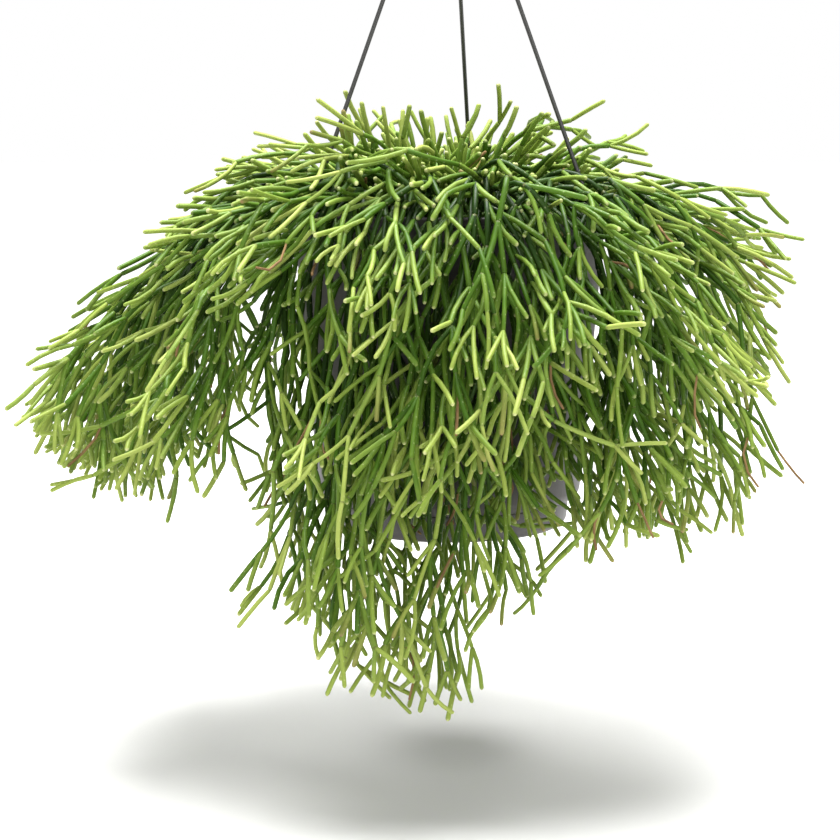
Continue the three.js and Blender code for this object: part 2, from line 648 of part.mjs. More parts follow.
function makeSoil(roots) {
  const floorTop = RIM_Z - POT_DEPTH + POT_FLOOR + GAP;
  const inner = (z) => potRadius(RIM_Z - z) - POT_WALL - GAP;
  const edgeZ = RIM_Z - POT_DEPTH + POT_EDGE_RADIUS + 1;
  const top = Array.from({ length: 3 }, (_, i) => {
    const share = 1 - i / 3;
    return [inner(SOIL_Z) * share, SOIL_Z + SOIL_CROWN * (1 - share * share)];
  });
  const pocket = STUD_HEAD_RADIUS + GAP;
  let body = turned([
    [0, floorTop + STUD_HEAD_HEIGHT + GAP],
    [pocket, floorTop + STUD_HEAD_HEIGHT + GAP],
    [pocket, floorTop],
    [inner(edgeZ) - POT_EDGE_RADIUS, floorTop],
    [inner(edgeZ) - 0.6, edgeZ],
    ...top,
    [0, SOIL_Z + SOIL_CROWN],
  ], POT_SIDES);
  for (const root of roots) {
    const foot = root.path[0].clone().setZ(SOIL_Z - ROOT_HOLE_DEPTH);
    const mouth = foot.clone().setZ(SOIL_Z + SOIL_CROWN + CUT);
    const radius = clearing(ROOT_RADIUS + GAP, 6);
    body = body.subtract(rod(foot, mouth, radius, radius, 6));
  }
  return meshOf('potting_soil', body, soilMaterial);
}

// ---------------------------------------------------------------- the whole part

const roots = growPlant();
const hangingCactus = new THREE.Group();
hangingCactus.add(makePot(), makeSaucer(), makeSoil(roots), makeHook());
strandLines.forEach((line) => hangingCactus.add(makeStrand(line)));
roots.forEach((root) => hangingCactus.add(makeSpray(root)));
export default hangingCactus;
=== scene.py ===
"""A mistletoe cactus in its grey plastic hanging pot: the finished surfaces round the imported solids.

Sizes are in millimetres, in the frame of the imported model, and each mesh is made in metres.
"""

import math

import bmesh
import bpy
import numpy as np
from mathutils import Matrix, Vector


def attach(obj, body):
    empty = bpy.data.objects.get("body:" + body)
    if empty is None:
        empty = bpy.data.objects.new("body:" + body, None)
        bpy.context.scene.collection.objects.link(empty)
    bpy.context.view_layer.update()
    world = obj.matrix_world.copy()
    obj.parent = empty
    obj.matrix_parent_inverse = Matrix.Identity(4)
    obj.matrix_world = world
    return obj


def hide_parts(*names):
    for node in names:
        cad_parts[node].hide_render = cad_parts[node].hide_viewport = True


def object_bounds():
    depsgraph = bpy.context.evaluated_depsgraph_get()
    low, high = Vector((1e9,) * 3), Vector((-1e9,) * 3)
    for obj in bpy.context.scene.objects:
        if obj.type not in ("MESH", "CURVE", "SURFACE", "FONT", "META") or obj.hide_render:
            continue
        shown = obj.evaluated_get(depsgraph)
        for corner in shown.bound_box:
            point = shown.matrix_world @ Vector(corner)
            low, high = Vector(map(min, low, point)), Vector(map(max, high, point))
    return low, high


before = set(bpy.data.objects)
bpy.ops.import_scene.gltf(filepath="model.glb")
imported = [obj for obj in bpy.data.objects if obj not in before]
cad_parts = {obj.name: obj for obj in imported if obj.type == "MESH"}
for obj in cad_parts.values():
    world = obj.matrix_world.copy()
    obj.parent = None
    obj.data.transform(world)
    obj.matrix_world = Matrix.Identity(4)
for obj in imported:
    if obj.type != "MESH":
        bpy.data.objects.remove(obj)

solids_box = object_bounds()

# ---------------- pot
# One moulding in grey polypropylene: a tapered wall with a flat rim and a turned-down lip, three ears
# under the rim that the strands pass through, and a floor with a hole for the saucer's stud. The drain
# holes lie out of sight over the saucer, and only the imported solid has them. The grain is fine and even.

MM = 0.001
RIM_Z = -266.0
RIM_RADIUS = 97.0
RIM_THICKNESS = 2.4
LIP_DEPTH = 5.0
POT_DEPTH = 169.0
POT_MOUTH_RADIUS = 90.5
POT_TAPER = 0.084
POT_WALL = 1.8
POT_FLOOR = 2.2
POT_EDGE_RADIUS = 7.0
POT_SIDES = 144
STUD_HOLE_RADIUS = 5.0
HUB_HOLE_CIRCLE = 7.5
HUB_MIDDLE_Z = -60.0
RIM_HOLE_CIRCLE = 94.0
STRAND_AZIMUTHS = {"left": 213.0, "right": 327.0, "back": 81.0}
STRAND_RADIUS = 1.2
EAR_RADIUS = 4.4
EAR_LENGTH = 7.0


def linear(code, alpha=1.0):
    """An sRGB hex colour as linear red, green, blue and alpha, by the sRGB transfer curve."""
    parts = np.array([int(code[i:i + 2], 16) for i in (1, 3, 5)]) / 255.0
    curve = np.where(parts <= 0.04045, parts / 12.92, ((parts + 0.055) / 1.055) ** 2.4)
    return (*curve.tolist(), alpha)


def add_node(material, kind, inputs=None, **settings):
    """Adds a shader node to a material. An input is a value for its socket, or another node's output."""
    made = material.node_tree.nodes.new("ShaderNode" + kind)
    for name, value in settings.items():
        setattr(made, name, value)
    for name, value in (inputs or {}).items():
        if isinstance(value, bpy.types.NodeSocket):
            material.node_tree.links.new(value, made.inputs[name])
        else:
            made.inputs[name].default_value = value
    return made


def new_material(name, **sockets):
    """A material of one Principled shader, with its uniform values on the shader's own sockets."""
    material = bpy.data.materials.new(name)
    material.use_nodes = True
    shader = material.node_tree.nodes["Principled BSDF"]
    for socket, value in sockets.items():
        shader.inputs[socket.replace("_", " ")].default_value = value
    return material, shader


def link(material, output, socket):
    """Links a node's output to a shader's socket."""
    material.node_tree.links.new(output, socket)


def mesh_of(name, points, faces):
    """A mesh in metres from points in millimetres, with coinciding points merged and faces outward."""
    mesh = bpy.data.meshes.new(name)
    mesh.from_pydata((np.asarray(points) * MM).tolist(), [], [list(face) for face in faces])
    shape = bmesh.new()
    shape.from_mesh(mesh)
    bmesh.ops.remove_doubles(shape, verts=shape.verts, dist=1e-6)
    bmesh.ops.dissolve_degenerate(shape, edges=shape.edges, dist=1e-7)
    bmesh.ops.recalc_face_normals(shape, faces=shape.faces)
    shape.to_mesh(mesh)
    shape.free()
    return mesh


def put(name, data):
    """Puts a mesh, a light or a camera in the scene as an object."""
    thing = bpy.data.objects.new(name, data)
    bpy.context.scene.collection.objects.link(thing)
    return thing


def add_piece(mesh, material, replaces, crease=32):
    """Puts a mesh in the scene as a piece of the object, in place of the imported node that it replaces; it
    is smooth except over edges sharper than crease."""
    piece = put(mesh.name, mesh)
    mesh.materials.append(material)
    mesh.polygons.foreach_set("use_smooth", np.ones(len(mesh.polygons), bool))
    if crease:
        mesh.set_sharp_from_angle(angle=math.radians(crease))
    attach(piece, "root")
    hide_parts(replaces)


def grid_faces(rows, columns, closed=False):
    """Quads over a grid of points whose last column meets the first, and last row too where closed."""
    row, column = np.meshgrid(np.arange(rows if closed else rows - 1), np.arange(columns), indexing="ij")
    below, beside = (row + 1) % rows, (column + 1) % columns
    return np.stack([row * columns + column, row * columns + beside,
                     below * columns + beside, below * columns + column], -1).reshape(-1, 4)


def turned(profile, sides, closed=False):
    """A surface of revolution: profile point (r, z) at angle a lies at (r cos a, r sin a, z)."""
    radius, z = np.array(profile, float).T
    angle = np.linspace(0, 2 * np.pi, sides, endpoint=False)
    points = np.stack([np.outer(radius, np.cos(angle)), np.outer(radius, np.sin(angle)),
                       np.repeat(z[:, None], sides, 1)], -1)
    return points.reshape(-1, 3), grid_faces(len(radius), sides, closed)


def arc(centre_radius, centre_z, radius, start, end, steps):
    """Points of an arc: (c + r cos a, z + r sin a) for a from start to end, in degrees."""
    angle = np.radians(np.linspace(start, end, steps + 1))
    points = [centre_radius + radius * np.cos(angle), centre_z + radius * np.sin(angle)]
    return np.stack(points, -1).tolist()


def cosine(degrees):
    """The cosine of an angle in degrees."""
    return math.cos(math.radians(degrees))


def sine(degrees):
    """The sine of an angle in degrees."""
    return math.sin(math.radians(degrees))


def polar(azimuth, radius, z):
    """A point at an azimuth in degrees, a distance from the pot's axis and a height."""
    return np.array([radius * cosine(azimuth), radius * sine(azimuth), z])


def unit(vector):
    """A vector of length one along another."""
    return vector / math.sqrt(vector @ vector)


def units(vectors):
    """Many vectors of length one along others."""
    return vectors / np.linalg.norm(vectors, axis=-1, keepdims=True)


def tube(path, radii, sides, along=None):
    """A round bar: ring k of a radius is centred on path point k, square to the path there.

    The ring's first direction is the projection of one fixed direction, so the tube doesn't twist.
    """
    path = np.asarray(path, float)
    if along is None:
        along = units(np.gradient(path, axis=0))
    spread = np.linalg.svd(path - path.mean(0))[2][-1]
    first = units(spread - along * (along @ spread)[:, None])
    second = np.cross(along, first)
    angle = np.linspace(0, 2 * np.pi, sides, endpoint=False)
    ring = first[:, None] * np.cos(angle)[:, None] + second[:, None] * np.sin(angle)[:, None]
    points = path[:, None] + ring * np.asarray(radii, float)[:, None, None]
    return points.reshape(-1, 3), grid_faces(len(path), sides)


def combined(*shapes):
    """Several shapes of points and faces as one."""
    points, faces, count = [], [], 0
    for shape_points, shape_faces in shapes:
        points.append(shape_points)
        faces.extend((np.asarray(shape_faces) + count).tolist())
        count += len(shape_points)
    return np.concatenate(points), faces


def strand_ends(azimuth):
    """The ends of a strand's centre line, in the hub's middle and at the rim's top."""
    return polar(azimuth, HUB_HOLE_CIRCLE, HUB_MIDDLE_Z), polar(azimuth, RIM_HOLE_CIRCLE, RIM_Z)


def bar(start, end, profile, sides):
    """A turned bar along the line between two points, from (distance from the start, radius) pairs."""
    way = unit(end - start)
    distance, radii = np.array(profile, float).T
    path = start + np.outer(distance, way)
    return tube(path, radii, sides, np.repeat(way[None], len(path), 0))


def pot_radius(depth):
    """The radius of the pot's outer wall at a depth below the rim."""
    return POT_MOUTH_RADIUS - POT_TAPER * depth


underside = RIM_Z - POT_DEPTH
edge_z = underside + POT_EDGE_RADIUS
edge_radius = pot_radius(POT_DEPTH - POT_EDGE_RADIUS) - POT_EDGE_RADIUS
under_rim = RIM_Z - RIM_THICKNESS
pot_profile = [
    [STUD_HOLE_RADIUS, underside],
    *arc(edge_radius, edge_z, POT_EDGE_RADIUS, -90, 0, 10),
    *[[pot_radius(depth), RIM_Z - depth] for depth in np.linspace(140, 8, 8)],
    *arc(pot_radius(RIM_THICKNESS) + 1.2, under_rim - 1.2, 1.2, 180, 90, 4),
    [RIM_RADIUS - POT_WALL - 0.6, under_rim],
    *arc(RIM_RADIUS - POT_WALL / 2, RIM_Z - LIP_DEPTH + POT_WALL / 2, POT_WALL / 2, 180, 360, 8),
    *arc(RIM_RADIUS - 1.2, RIM_Z - 1.2, 1.2, 0, 90, 6),
    *arc(POT_MOUTH_RADIUS - POT_WALL + 0.8, RIM_Z - 0.8, 0.8, 90, 180, 4),
    *[[pot_radius(depth) - POT_WALL, RIM_Z - depth] for depth in np.linspace(8, 150, 6)],
    *arc(edge_radius, edge_z, POT_EDGE_RADIUS - POT_WALL, 0, -70, 6),
    [edge_radius - 2, underside + POT_FLOOR],
    [STUD_HOLE_RADIUS, underside + POT_FLOOR],
]
ears = []
for azimuth in STRAND_AZIMUTHS.values():
    top, bottom = strand_ends(azimuth)
    ear = [(0.7, 0.0), (0.7, EAR_RADIUS), (EAR_LENGTH - 0.8, EAR_RADIUS),
           (EAR_LENGTH - 0.3, EAR_RADIUS - 0.25), (EAR_LENGTH, EAR_RADIUS - 0.8), (EAR_LENGTH, 0.0)]
    ears.append(bar(bottom, bottom + unit(bottom - top), ear, 32))
pot_mesh = mesh_of("hanging_pot", *combined(turned(pot_profile, POT_SIDES, closed=True), *ears))


def grained_plastic(name, colour, light_colour, roughness, grain, depth):
    """Moulded polypropylene: broad faint colour drift, fine scuffs and an even spark-eroded grain.

    The drift keeps the grey from reading as flat paint, and the grain breaks its highlight up.
    """
    material, shader = new_material(name, Roughness=roughness, IOR=1.49)
    place = add_node(material, "TexCoord").outputs["Object"]
    drift = add_node(material, "TexNoise", {"Vector": place, "Scale": 1 / (60 * MM), "Detail": 3.0})
    upright = add_node(material, "Mapping", {"Vector": place, "Scale": (1, 1, 0.12)})
    scuffs = add_node(material, "TexNoise", {
        "Vector": upright.outputs[0], "Scale": 1 / (3 * MM), "Detail": 6.0, "Roughness": 0.7})
    share = add_node(material, "MapRange", {
        "Value": drift.outputs[0], "From Min": 0.35, "From Max": 0.65, "To Max": 0.5})
    mixed = add_node(material, "Mix", {
        "Factor": share.outputs[0], 6: linear(colour), 7: linear(light_colour)}, data_type="RGBA")
    link(material, mixed.outputs[2], shader.inputs["Base Color"])
    rough = add_node(material, "MapRange", {
        "Value": scuffs.outputs[0], "From Min": 0.3, "From Max": 0.7,
        "To Min": roughness - 0.06, "To Max": roughness + 0.08})
    link(material, rough.outputs[0], shader.inputs["Roughness"])
    pits = add_node(material, "TexNoise", {"Vector": place, "Scale": 1 / (grain * MM), "Detail": 2.0})
    bump = add_node(material, "Bump", {
        "Height": pits.outputs[0], "Strength": 0.35, "Distance": depth * MM})
    link(material, bump.outputs[0], shader.inputs["Normal"])
    return material


# the grain of such a wall is about 0.3 mm, and is drawn at 0.8 mm so that it shows
pot_plastic = grained_plastic("grained grey polypropylene", "#3c3937", "#464340", 0.5, 0.8, 0.05)
add_piece(pot_mesh, pot_plastic, "pot")

# ---------------- drip saucer
# A shallow dish in the same plastic that catches what drains. It is pushed up under the pot until the
# barbed stud in its middle snaps through the pot's floor.

SAUCER_DEPTH = 16.0
SAUCER_RADIUS = 70.0
SAUCER_WALL = 1.8
SAUCER_EDGE_RADIUS = 6.0
STUD_RADIUS = 7.0
STUD_HEAD_RADIUS = 6.0
STUD_HEAD_HEIGHT = 4.0
GAP = 0.3

saucer_bottom = underside - SAUCER_DEPTH
saucer_edge_z = saucer_bottom + SAUCER_EDGE_RADIUS
saucer_edge_radius = SAUCER_RADIUS - 0.6 - SAUCER_EDGE_RADIUS
saucer_top = underside - GAP
head_z = underside + POT_FLOOR + GAP
neck = STUD_HOLE_RADIUS - GAP
saucer_profile = [
    [0, saucer_bottom],
    *arc(saucer_edge_radius, saucer_edge_z, SAUCER_EDGE_RADIUS, -90, 0, 10),
    *arc(SAUCER_RADIUS - 0.7, saucer_top - 0.7, 0.7, 0, 90, 4),
    *arc(SAUCER_RADIUS - SAUCER_WALL + 0.5, saucer_top - 0.5, 0.5, 90, 180, 3),
    *arc(saucer_edge_radius, saucer_edge_z, SAUCER_EDGE_RADIUS - SAUCER_WALL, 0, -90, 6),
    [STUD_RADIUS, saucer_bottom + SAUCER_WALL],
    [STUD_RADIUS, saucer_top],
    [neck, saucer_top],
    [neck, head_z],
    [STUD_HEAD_RADIUS, head_z],
    [STUD_HEAD_RADIUS, head_z + 1],
    [STUD_HEAD_RADIUS / 2, head_z + STUD_HEAD_HEIGHT],
    [0, head_z + STUD_HEAD_HEIGHT],
]
saucer_mesh = mesh_of("round_saucer", *turned(saucer_profile, POT_SIDES))
saucer_plastic = grained_plastic("grained saucer polypropylene", "#413e3d", "#4b4846", 0.46, 0.8, 0.05)
add_piece(saucer_mesh, saucer_plastic, "drip_saucer")

# ---------------- potting soil
# Loose peat and bark that fills the pot to a finger's width under the rim and stands a little higher in
# the middle. Its crumbs show between the stems from above.

SOIL_BELOW_RIM = 15.0
SOIL_CROWN = 3.0
SOIL_Z = RIM_Z - SOIL_BELOW_RIM
CRUMB_SIZES = (1.2, 3.4)
CRUMBS = 900

draws = np.random.default_rng(5)


def soil_height(x, y):
    """Height of the soil: a low dome plus four layers of crossed waves whose length halves each time."""
    z = SOIL_Z + SOIL_CROWN * (1 - (x * x + y * y) / inner_soil_radius ** 2)
    for layer, (wave, size) in enumerate(((17.0, 0.7), (8.0, 0.5), (4.3, 0.4), (2.3, 0.3))):
        turned_x = x * math.cos(layer) - y * math.sin(layer)
        turned_y = x * math.sin(layer) + y * math.cos(layer)
        crossed = np.sin(turned_x * 2 * np.pi / wave + 2 * layer) * np.sin(turned_y * 2 * np.pi / wave)
        z = z + size * crossed
    return z


inner_soil_radius = pot_radius(SOIL_BELOW_RIM) - POT_WALL - GAP
soil_rows = 60
row_radius = np.linspace(inner_soil_radius, 0, soil_rows)
soil_bottom = underside + POT_FLOOR + GAP
soil_profile = [
    [0, soil_bottom + STUD_HEAD_HEIGHT + GAP],
    [STUD_HEAD_RADIUS + GAP, soil_bottom + STUD_HEAD_HEIGHT + GAP],
    [STUD_HEAD_RADIUS + GAP, soil_bottom],
    [edge_radius, soil_bottom],
    [pot_radius(POT_DEPTH - 8) - POT_WALL - GAP - 0.6, underside + POT_EDGE_RADIUS + 1],
    *[[radius, SOIL_Z] for radius in row_radius],
]
soil_points, soil_faces = turned(soil_profile, POT_SIDES)
on_top = np.arange(len(soil_points)) >= (len(soil_profile) - soil_rows) * POT_SIDES
soil_points[on_top, 2] = soil_height(soil_points[on_top, 0], soil_points[on_top, 1])

crumb_radius = inner_soil_radius * 0.97 * np.sqrt(draws.random(CRUMBS))
crumb_angle = draws.random(CRUMBS) * 2 * np.pi
crumb_place = np.stack([crumb_radius * np.cos(crumb_angle), crumb_radius * np.sin(crumb_angle)], -1)
crumb_place = np.column_stack([crumb_place, soil_height(*crumb_place.T) + 0.4])
corner = np.array([[1, 0, 0], [-1, 0, 0], [0, 1, 0], [0, -1, 0], [0, 0, 1], [0, 0, -1]], float)
crumb_faces = np.array([[0, 2, 4], [2, 1, 4], [1, 3, 4], [3, 0, 4],
                        [2, 0, 5], [1, 2, 5], [3, 1, 5], [0, 3, 5]])
crumb_size = draws.uniform(*CRUMB_SIZES, (CRUMBS, 1, 3)) / 2
spin = np.linalg.qr(draws.normal(size=(CRUMBS, 3, 3)))[0]
crumb_shape = corner[None] * crumb_size * draws.uniform(0.7, 1.0, (CRUMBS, 6, 1))
crumb_points = crumb_place[:, None] + np.einsum("nij,nkj->nki", spin, crumb_shape)
first_corner = len(corner) * np.arange(CRUMBS)[:, None, None]
crumbs = (crumb_points.reshape(-1, 3), (crumb_faces[None] + first_corner).reshape(-1, 3))

potting_mix, shader = new_material("moist peat and bark", Roughness=0.92, IOR=1.4)
place = add_node(potting_mix, "TexCoord").outputs["Object"]
lumps = add_node(potting_mix, "TexVoronoi", {"Vector": place, "Scale": 1 / (2.6 * MM)})
fibres = add_node(potting_mix, "TexNoise", {"Vector": place, "Scale": 1 / (1.1 * MM), "Detail": 6.0})
shades = add_node(potting_mix, "ValToRGB", {"Fac": lumps.outputs["Color"]})
shades.color_ramp.elements[0].color = linear("#1d140d")
shades.color_ramp.elements[1].color = linear("#4d3726")
link(potting_mix, shades.outputs[0], shader.inputs["Base Color"])
bump = add_node(potting_mix, "Bump", {"Height": fibres.outputs[0], "Strength": 0.8, "Distance": 0.8 * MM})
link(potting_mix, bump.outputs[0], shader.inputs["Normal"])
soil_mesh = mesh_of("peat_and_bark", *combined((soil_points, soil_faces), crumbs))
add_piece(soil_mesh, potting_mix, "potting_soil", crease=50)

# ---------------- hanger hook
# The hook and its hub are one moulding in stiff dark nylon. The bight hangs on a rail, and the hub under
# it holds the three strands' heads in pockets.

HOOK_WIRE_RADIUS = 2.35
HOOK_INNER_RADIUS = 15.0
HUB_TOP_Z = -56.0
HUB_THICKNESS = 8.0
HUB_RADIUS = 13.0
STRAND_HEAD_RADIUS = 2.8
HOOK_BEND_RADIUS = HOOK_INNER_RADIUS + 2.6
HOOK_BEND = ((-45, 0), (-15, 0), (15, 0), (45, 0), (70, 0), (90, 0), (110, 0), (135, 0), (165, 0), (190, 0),
             (208, 3))  # angles round the bend, and how far outside its circle the wire is there


def cubic(share, start, end, lead, leave):
    """The cubic that leaves its start and reaches its end along given slopes, at shares t of its way:
    (2t^3 - 3t^2 + 1) start + (t^3 - 2t^2 + t) lead + (3t^2 - 2t^3) end + (t^3 - t^2) leave."""
    return ((2 * share ** 3 - 3 * share ** 2 + 1) * start + (share ** 3 - 2 * share ** 2 + share) * lead
            + (3 * share ** 2 - 2 * share ** 3) * end + (share ** 3 - share ** 2) * leave)


def smooth_path(knots, steps):
    """A Catmull-Rom curve: between knots p1 and p2 it is the cubic that leaves each along the chord of
    that knot's neighbours, sampled at even steps."""
    knots = np.asarray(knots, float)
    before = np.vstack([2 * knots[0] - knots[1], knots[:-2]])
    after = np.vstack([knots[2:], 2 * knots[-1] - knots[-2]])
    slope = np.vstack([(knots[1:] - before) / 2, (knots[-1] - knots[-2])[None]])
    slope[1:-1] = (after[:-1] - knots[:-2]) / 2
    share = np.arange(steps)[:, None] / steps
    spans = [cubic(share, *ends) for ends in zip(knots, knots[1:], slope, slope[1:])]
    return np.vstack([*spans, knots[-1:]])


bight = [[(HOOK_BEND_RADIUS + out) * cosine(angle), 0.0,
          (HOOK_BEND_RADIUS + out) * sine(angle) - HOOK_INNER_RADIUS] for angle, out in HOOK_BEND]
hook_path = smooth_path([[0, 0, HUB_TOP_Z - HUB_THICKNESS / 2], [0, 0, HUB_TOP_Z + 7], *bight], 8)
hook_radii = np.full(len(hook_path), HOOK_WIRE_RADIUS)
hook_radii[0] = 0
hook_radii[-4:] = HOOK_WIRE_RADIUS * np.sqrt(1 - np.array([0.0, 0.35, 0.75, 1.0]) ** 2)
hub_profile = [
    [0, HUB_TOP_Z - HUB_THICKNESS],
    *arc(HUB_RADIUS - 1.2, HUB_TOP_Z - HUB_THICKNESS + 1.2, 1.2, -90, 0, 5),
    *arc(HUB_RADIUS - 1.2, HUB_TOP_Z - 1.2, 1.2, 0, 90, 5),
    *arc(HOOK_WIRE_RADIUS + 2, HUB_TOP_Z + 2, 2.0, 270, 180, 5),
    [0, HUB_TOP_Z + 2],
]
hook_mesh = mesh_of("hook_with_hub", *combined(tube(hook_path, hook_radii, 24), turned(hub_profile, 64)))
hanger_plastic = grained_plastic("smooth dark nylon", "#2b2b29", "#343432", 0.42, 1.5, 0.02)
add_piece(hook_mesh, hanger_plastic, "hanger_hook")

# ---------------- hanger strands
# Three moulded strands in the same nylon, pulled taut by the pot. Each hangs by a round head in the hub
# and ends in a button that was pressed through its ear under the rim.

STRAND_HEAD_LENGTH = 2.4
STRAND_BUTTON_RADIUS = 3.3
STRAND_BUTTON_LENGTH = 3.0

for side, azimuth in STRAND_AZIMUTHS.items():
    top, bottom = strand_ends(azimuth)
    length = math.sqrt((bottom - top) @ (bottom - top))
    start = -GAP - STRAND_HEAD_LENGTH
    end = length + EAR_LENGTH + GAP
    profile = [
        (start, 0), (start, STRAND_HEAD_RADIUS - 0.6), (start + 0.6, STRAND_HEAD_RADIUS),
        (-GAP - 0.3, STRAND_HEAD_RADIUS), (-GAP, STRAND_HEAD_RADIUS - 0.3), (-GAP, STRAND_RADIUS),
        *[(distance, STRAND_RADIUS) for distance in np.linspace(2, end - 1, 24)],
        (end, STRAND_RADIUS), (end, STRAND_BUTTON_RADIUS - 0.4), (end + 0.4, STRAND_BUTTON_RADIUS),
        (end + STRAND_BUTTON_LENGTH, STRAND_RADIUS), (end + STRAND_BUTTON_LENGTH, 0),
    ]
    strand_mesh = mesh_of(f"taut_strand_{side}", *bar(top, bottom, profile, 20))
    add_piece(strand_mesh, hanger_plastic, f"hanger_strand_{side}")

# ---------------- how the plant grows
# The plant is made of short round stems, jointed end to end. Main stems rise from fifty root stocks, arch
# over the rim and trail, and each joint bears a whorl of shoots. They bend aside for each other, for the
# pot and for the strands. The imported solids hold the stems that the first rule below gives.

SPRAYS = 50
ROOT_CIRCLE = 76.0
ROOT_HOLE_DEPTH = 14.0
ROOT_COLLAR = 3.0
SOLID_STEM_RADIUS = 1.95
POT_MARGIN = 0.8
EAR_CLEARANCE = 10.0
GOLDEN_ANGLE = 137.508
HABIT = np.array([  # radius and height over the rim of a main stem's bend, then of its end
    [12, 8.5, 26, 13.5],
    [46, 16, 70, 14],
    [74, 23, 108, 2],
    [98, 21, 144, -26],
    [116, 22, 154, -66],
    [130, 25, 124, -116],
], float)
# azimuth, and how much lower main stems bend and end towards it
SIDE_SAGS = ((190, 13, 22), (50, 24, 20), (0, 11, 10))
SKIRT_LIFT = np.array([  # azimuth, and how much higher the skirt ends there
    [0, -10], [60, 0], [130, 6], [180, 42], [212, 52], [232, 52],
    [248, 20], [270, 12], [292, 4], [318, -22], [345, -36], [360, -10],
], float)
TAIL_DROP = 104.0
TAIL_AZIMUTH = 252.0
TAIL_CORE = 13.0
TAIL_EDGE = 23.0
TAIL_PULL = 9.0
TAIL_PULL_WIDTH = 45.0
LEFT_REACH = 0.18
SIDE_REACH = 0.05
FRONT = 270.0
LIGHT_PULL = 18.0
SKIRT_CLEARANCE = 14.0
MAIN_STEP = 37.0
MAIN_LEAN = 26.0
MAIN_RISE = (26, 42)
MAIN_FAN = ((-12, 12), (14, 36), (-36, -14))
MAIN_PLACES = (0.06, -0.1, -0.1)
SHIFT_TRIES = 40
SHIFT_GROWTH = 0.7
DRIFT_KEPT = 0.8
PATH_TRIES = 8
LEAST_POINTS = 4
SHOOT_TRIES = 14
SHOOT_SHORTENING = 0.03
SHOOT_SWING = 16
SHOOT_WANDER = 0.12
JOINT_PEAK = 0.45
JOINT_ZONE = 10.0
STEM_SPACING = 4.5
SHOOTS = (  # each joint's shoots: share of faces that bear one, length, steps, tilt and droop
    (0.92, (26, 44), 2, (14, 34), 0.26),
    (0.6, (22, 36), 1, (18, 38), 0.22),
    (0.41, (18, 30), 1, (18, 40), 0.16),
)
UP = np.array([0.0, 0.0, 1.0])


def seeded(seed):
    """Repeatable draws between two limits: a counter whose bits are mixed by shifts and products."""
    state = seed

    def draw(low, high):
        """The next number between low and high."""
        nonlocal state
        state = (state + 0x6D2B79F5) & 0xFFFFFFFF
        bits = (state ^ state >> 15) * (state | 1) & 0xFFFFFFFF
        bits = (bits + ((bits ^ bits >> 7) * (bits | 61) & 0xFFFFFFFF) ^ bits) & 0xFFFFFFFF
        return low + (high - low) * (bits ^ bits >> 14) / 4294967296
    return draw


def offset(draw, size):
    """A random step of up to a size along each axis."""
    return np.array([draw(-size, size), draw(-size, size), draw(-size, size)])


def rotated(vector, axis, degrees):
    """A vector turned about a unit axis: v cos a + (axis x v) sin a + axis (axis . v)(1 - cos a)."""
    (x, y, z), (u, v, w) = axis, vector
    square = np.array([y * w - z * v, z * u - x * w, x * v - y * u])
    turn = cosine(degrees)
    return vector * turn + square * sine(degrees) + axis * (axis @ vector) * (1 - turn)


def across(axis, spoke, degrees):
    """The direction square to an axis that is nearest to a spoke, turned about the axis."""
    return rotated(unit(spoke - axis * (axis @ spoke)), axis, degrees)


def samples(start, end):
    """Points along a straight stretch, at most 2 mm apart."""
    count = math.ceil(math.sqrt((end - start) @ (end - start)) / 2)
    return [tuple(start + (end - start) * ((i + 1) / count)) for i in range(count)]


def cell_of(point, size):
    """The cell of a grid of cubes of a size that a point lies in."""
    return tuple(math.floor(value / size) for value in point)


def list_round(cells, point, size, stem):
    """Lists a stem's point in its own cell and in the 26 round it."""
    i, j, k = cell_of(point, size)
    for a, b, c in ((a, b, c) for a in (-1, 0, 1) for b in (-1, 0, 1) for c in (-1, 0, 1)):
        cells.setdefault((i + a, j + b, k + c), []).append((*point, stem))


taken = {}  # points along finished stems, listed in every cell that is within a stem's spacing of them


def take(stem):
    """Marks the space along a finished stem as taken by it."""
    for start, end in zip(stem.path, stem.path[1:]):
        for point in samples(start, end):
            list_round(taken, point, STEM_SPACING, stem)


strand_lines = [strand_ends(azimuth) for azimuth in STRAND_AZIMUTHS.values()]
ear_middles = [tuple(bottom + unit(bottom - top) * (EAR_LENGTH + STRAND_BUTTON_LENGTH) / 2)
               for top, bottom in strand_lines]


def clears_pot(x, y, z):
    """True where a stem's centre line keeps off the pot, its ears, its soil and the space under it."""
    radius, depth = math.hypot(x, y), RIM_Z - z
    margin = SOLID_STEM_RADIUS + POT_MARGIN
    if any(math.dist(middle, (x, y, z)) < EAR_CLEARANCE for middle in ear_middles):
        return False
    if depth < -margin:
        return True
    if depth < SOIL_BELOW_RIM - SOIL_CROWN - margin and radius < POT_MOUTH_RADIUS - POT_WALL - margin:
        return True
    if depth < LIP_DEPTH + margin:
        return radius > RIM_RADIUS + margin
    return radius > pot_radius(min(depth, POT_DEPTH)) + margin


def is_clear(start, end, joint, kin, spacing=STEM_SPACING):
    """True where a straight stretch clears the pot and every stem but its kin close to their joint."""
    middle = tuple(joint)
    for point in samples(start, end):
        near_joint = math.dist(point, middle) < JOINT_ZONE
        over_root = near_joint and kin[0].root and point[2] > joint[2]
        if not over_root and not clears_pot(*point):
            return False
        for x, y, z, stem in taken.get(cell_of(point, STEM_SPACING), ()):
            if math.dist(point, (x, y, z)) < spacing:
                if not (near_joint and stem in kin and math.dist((x, y, z), middle) < JOINT_ZONE):
                    return False
    return True


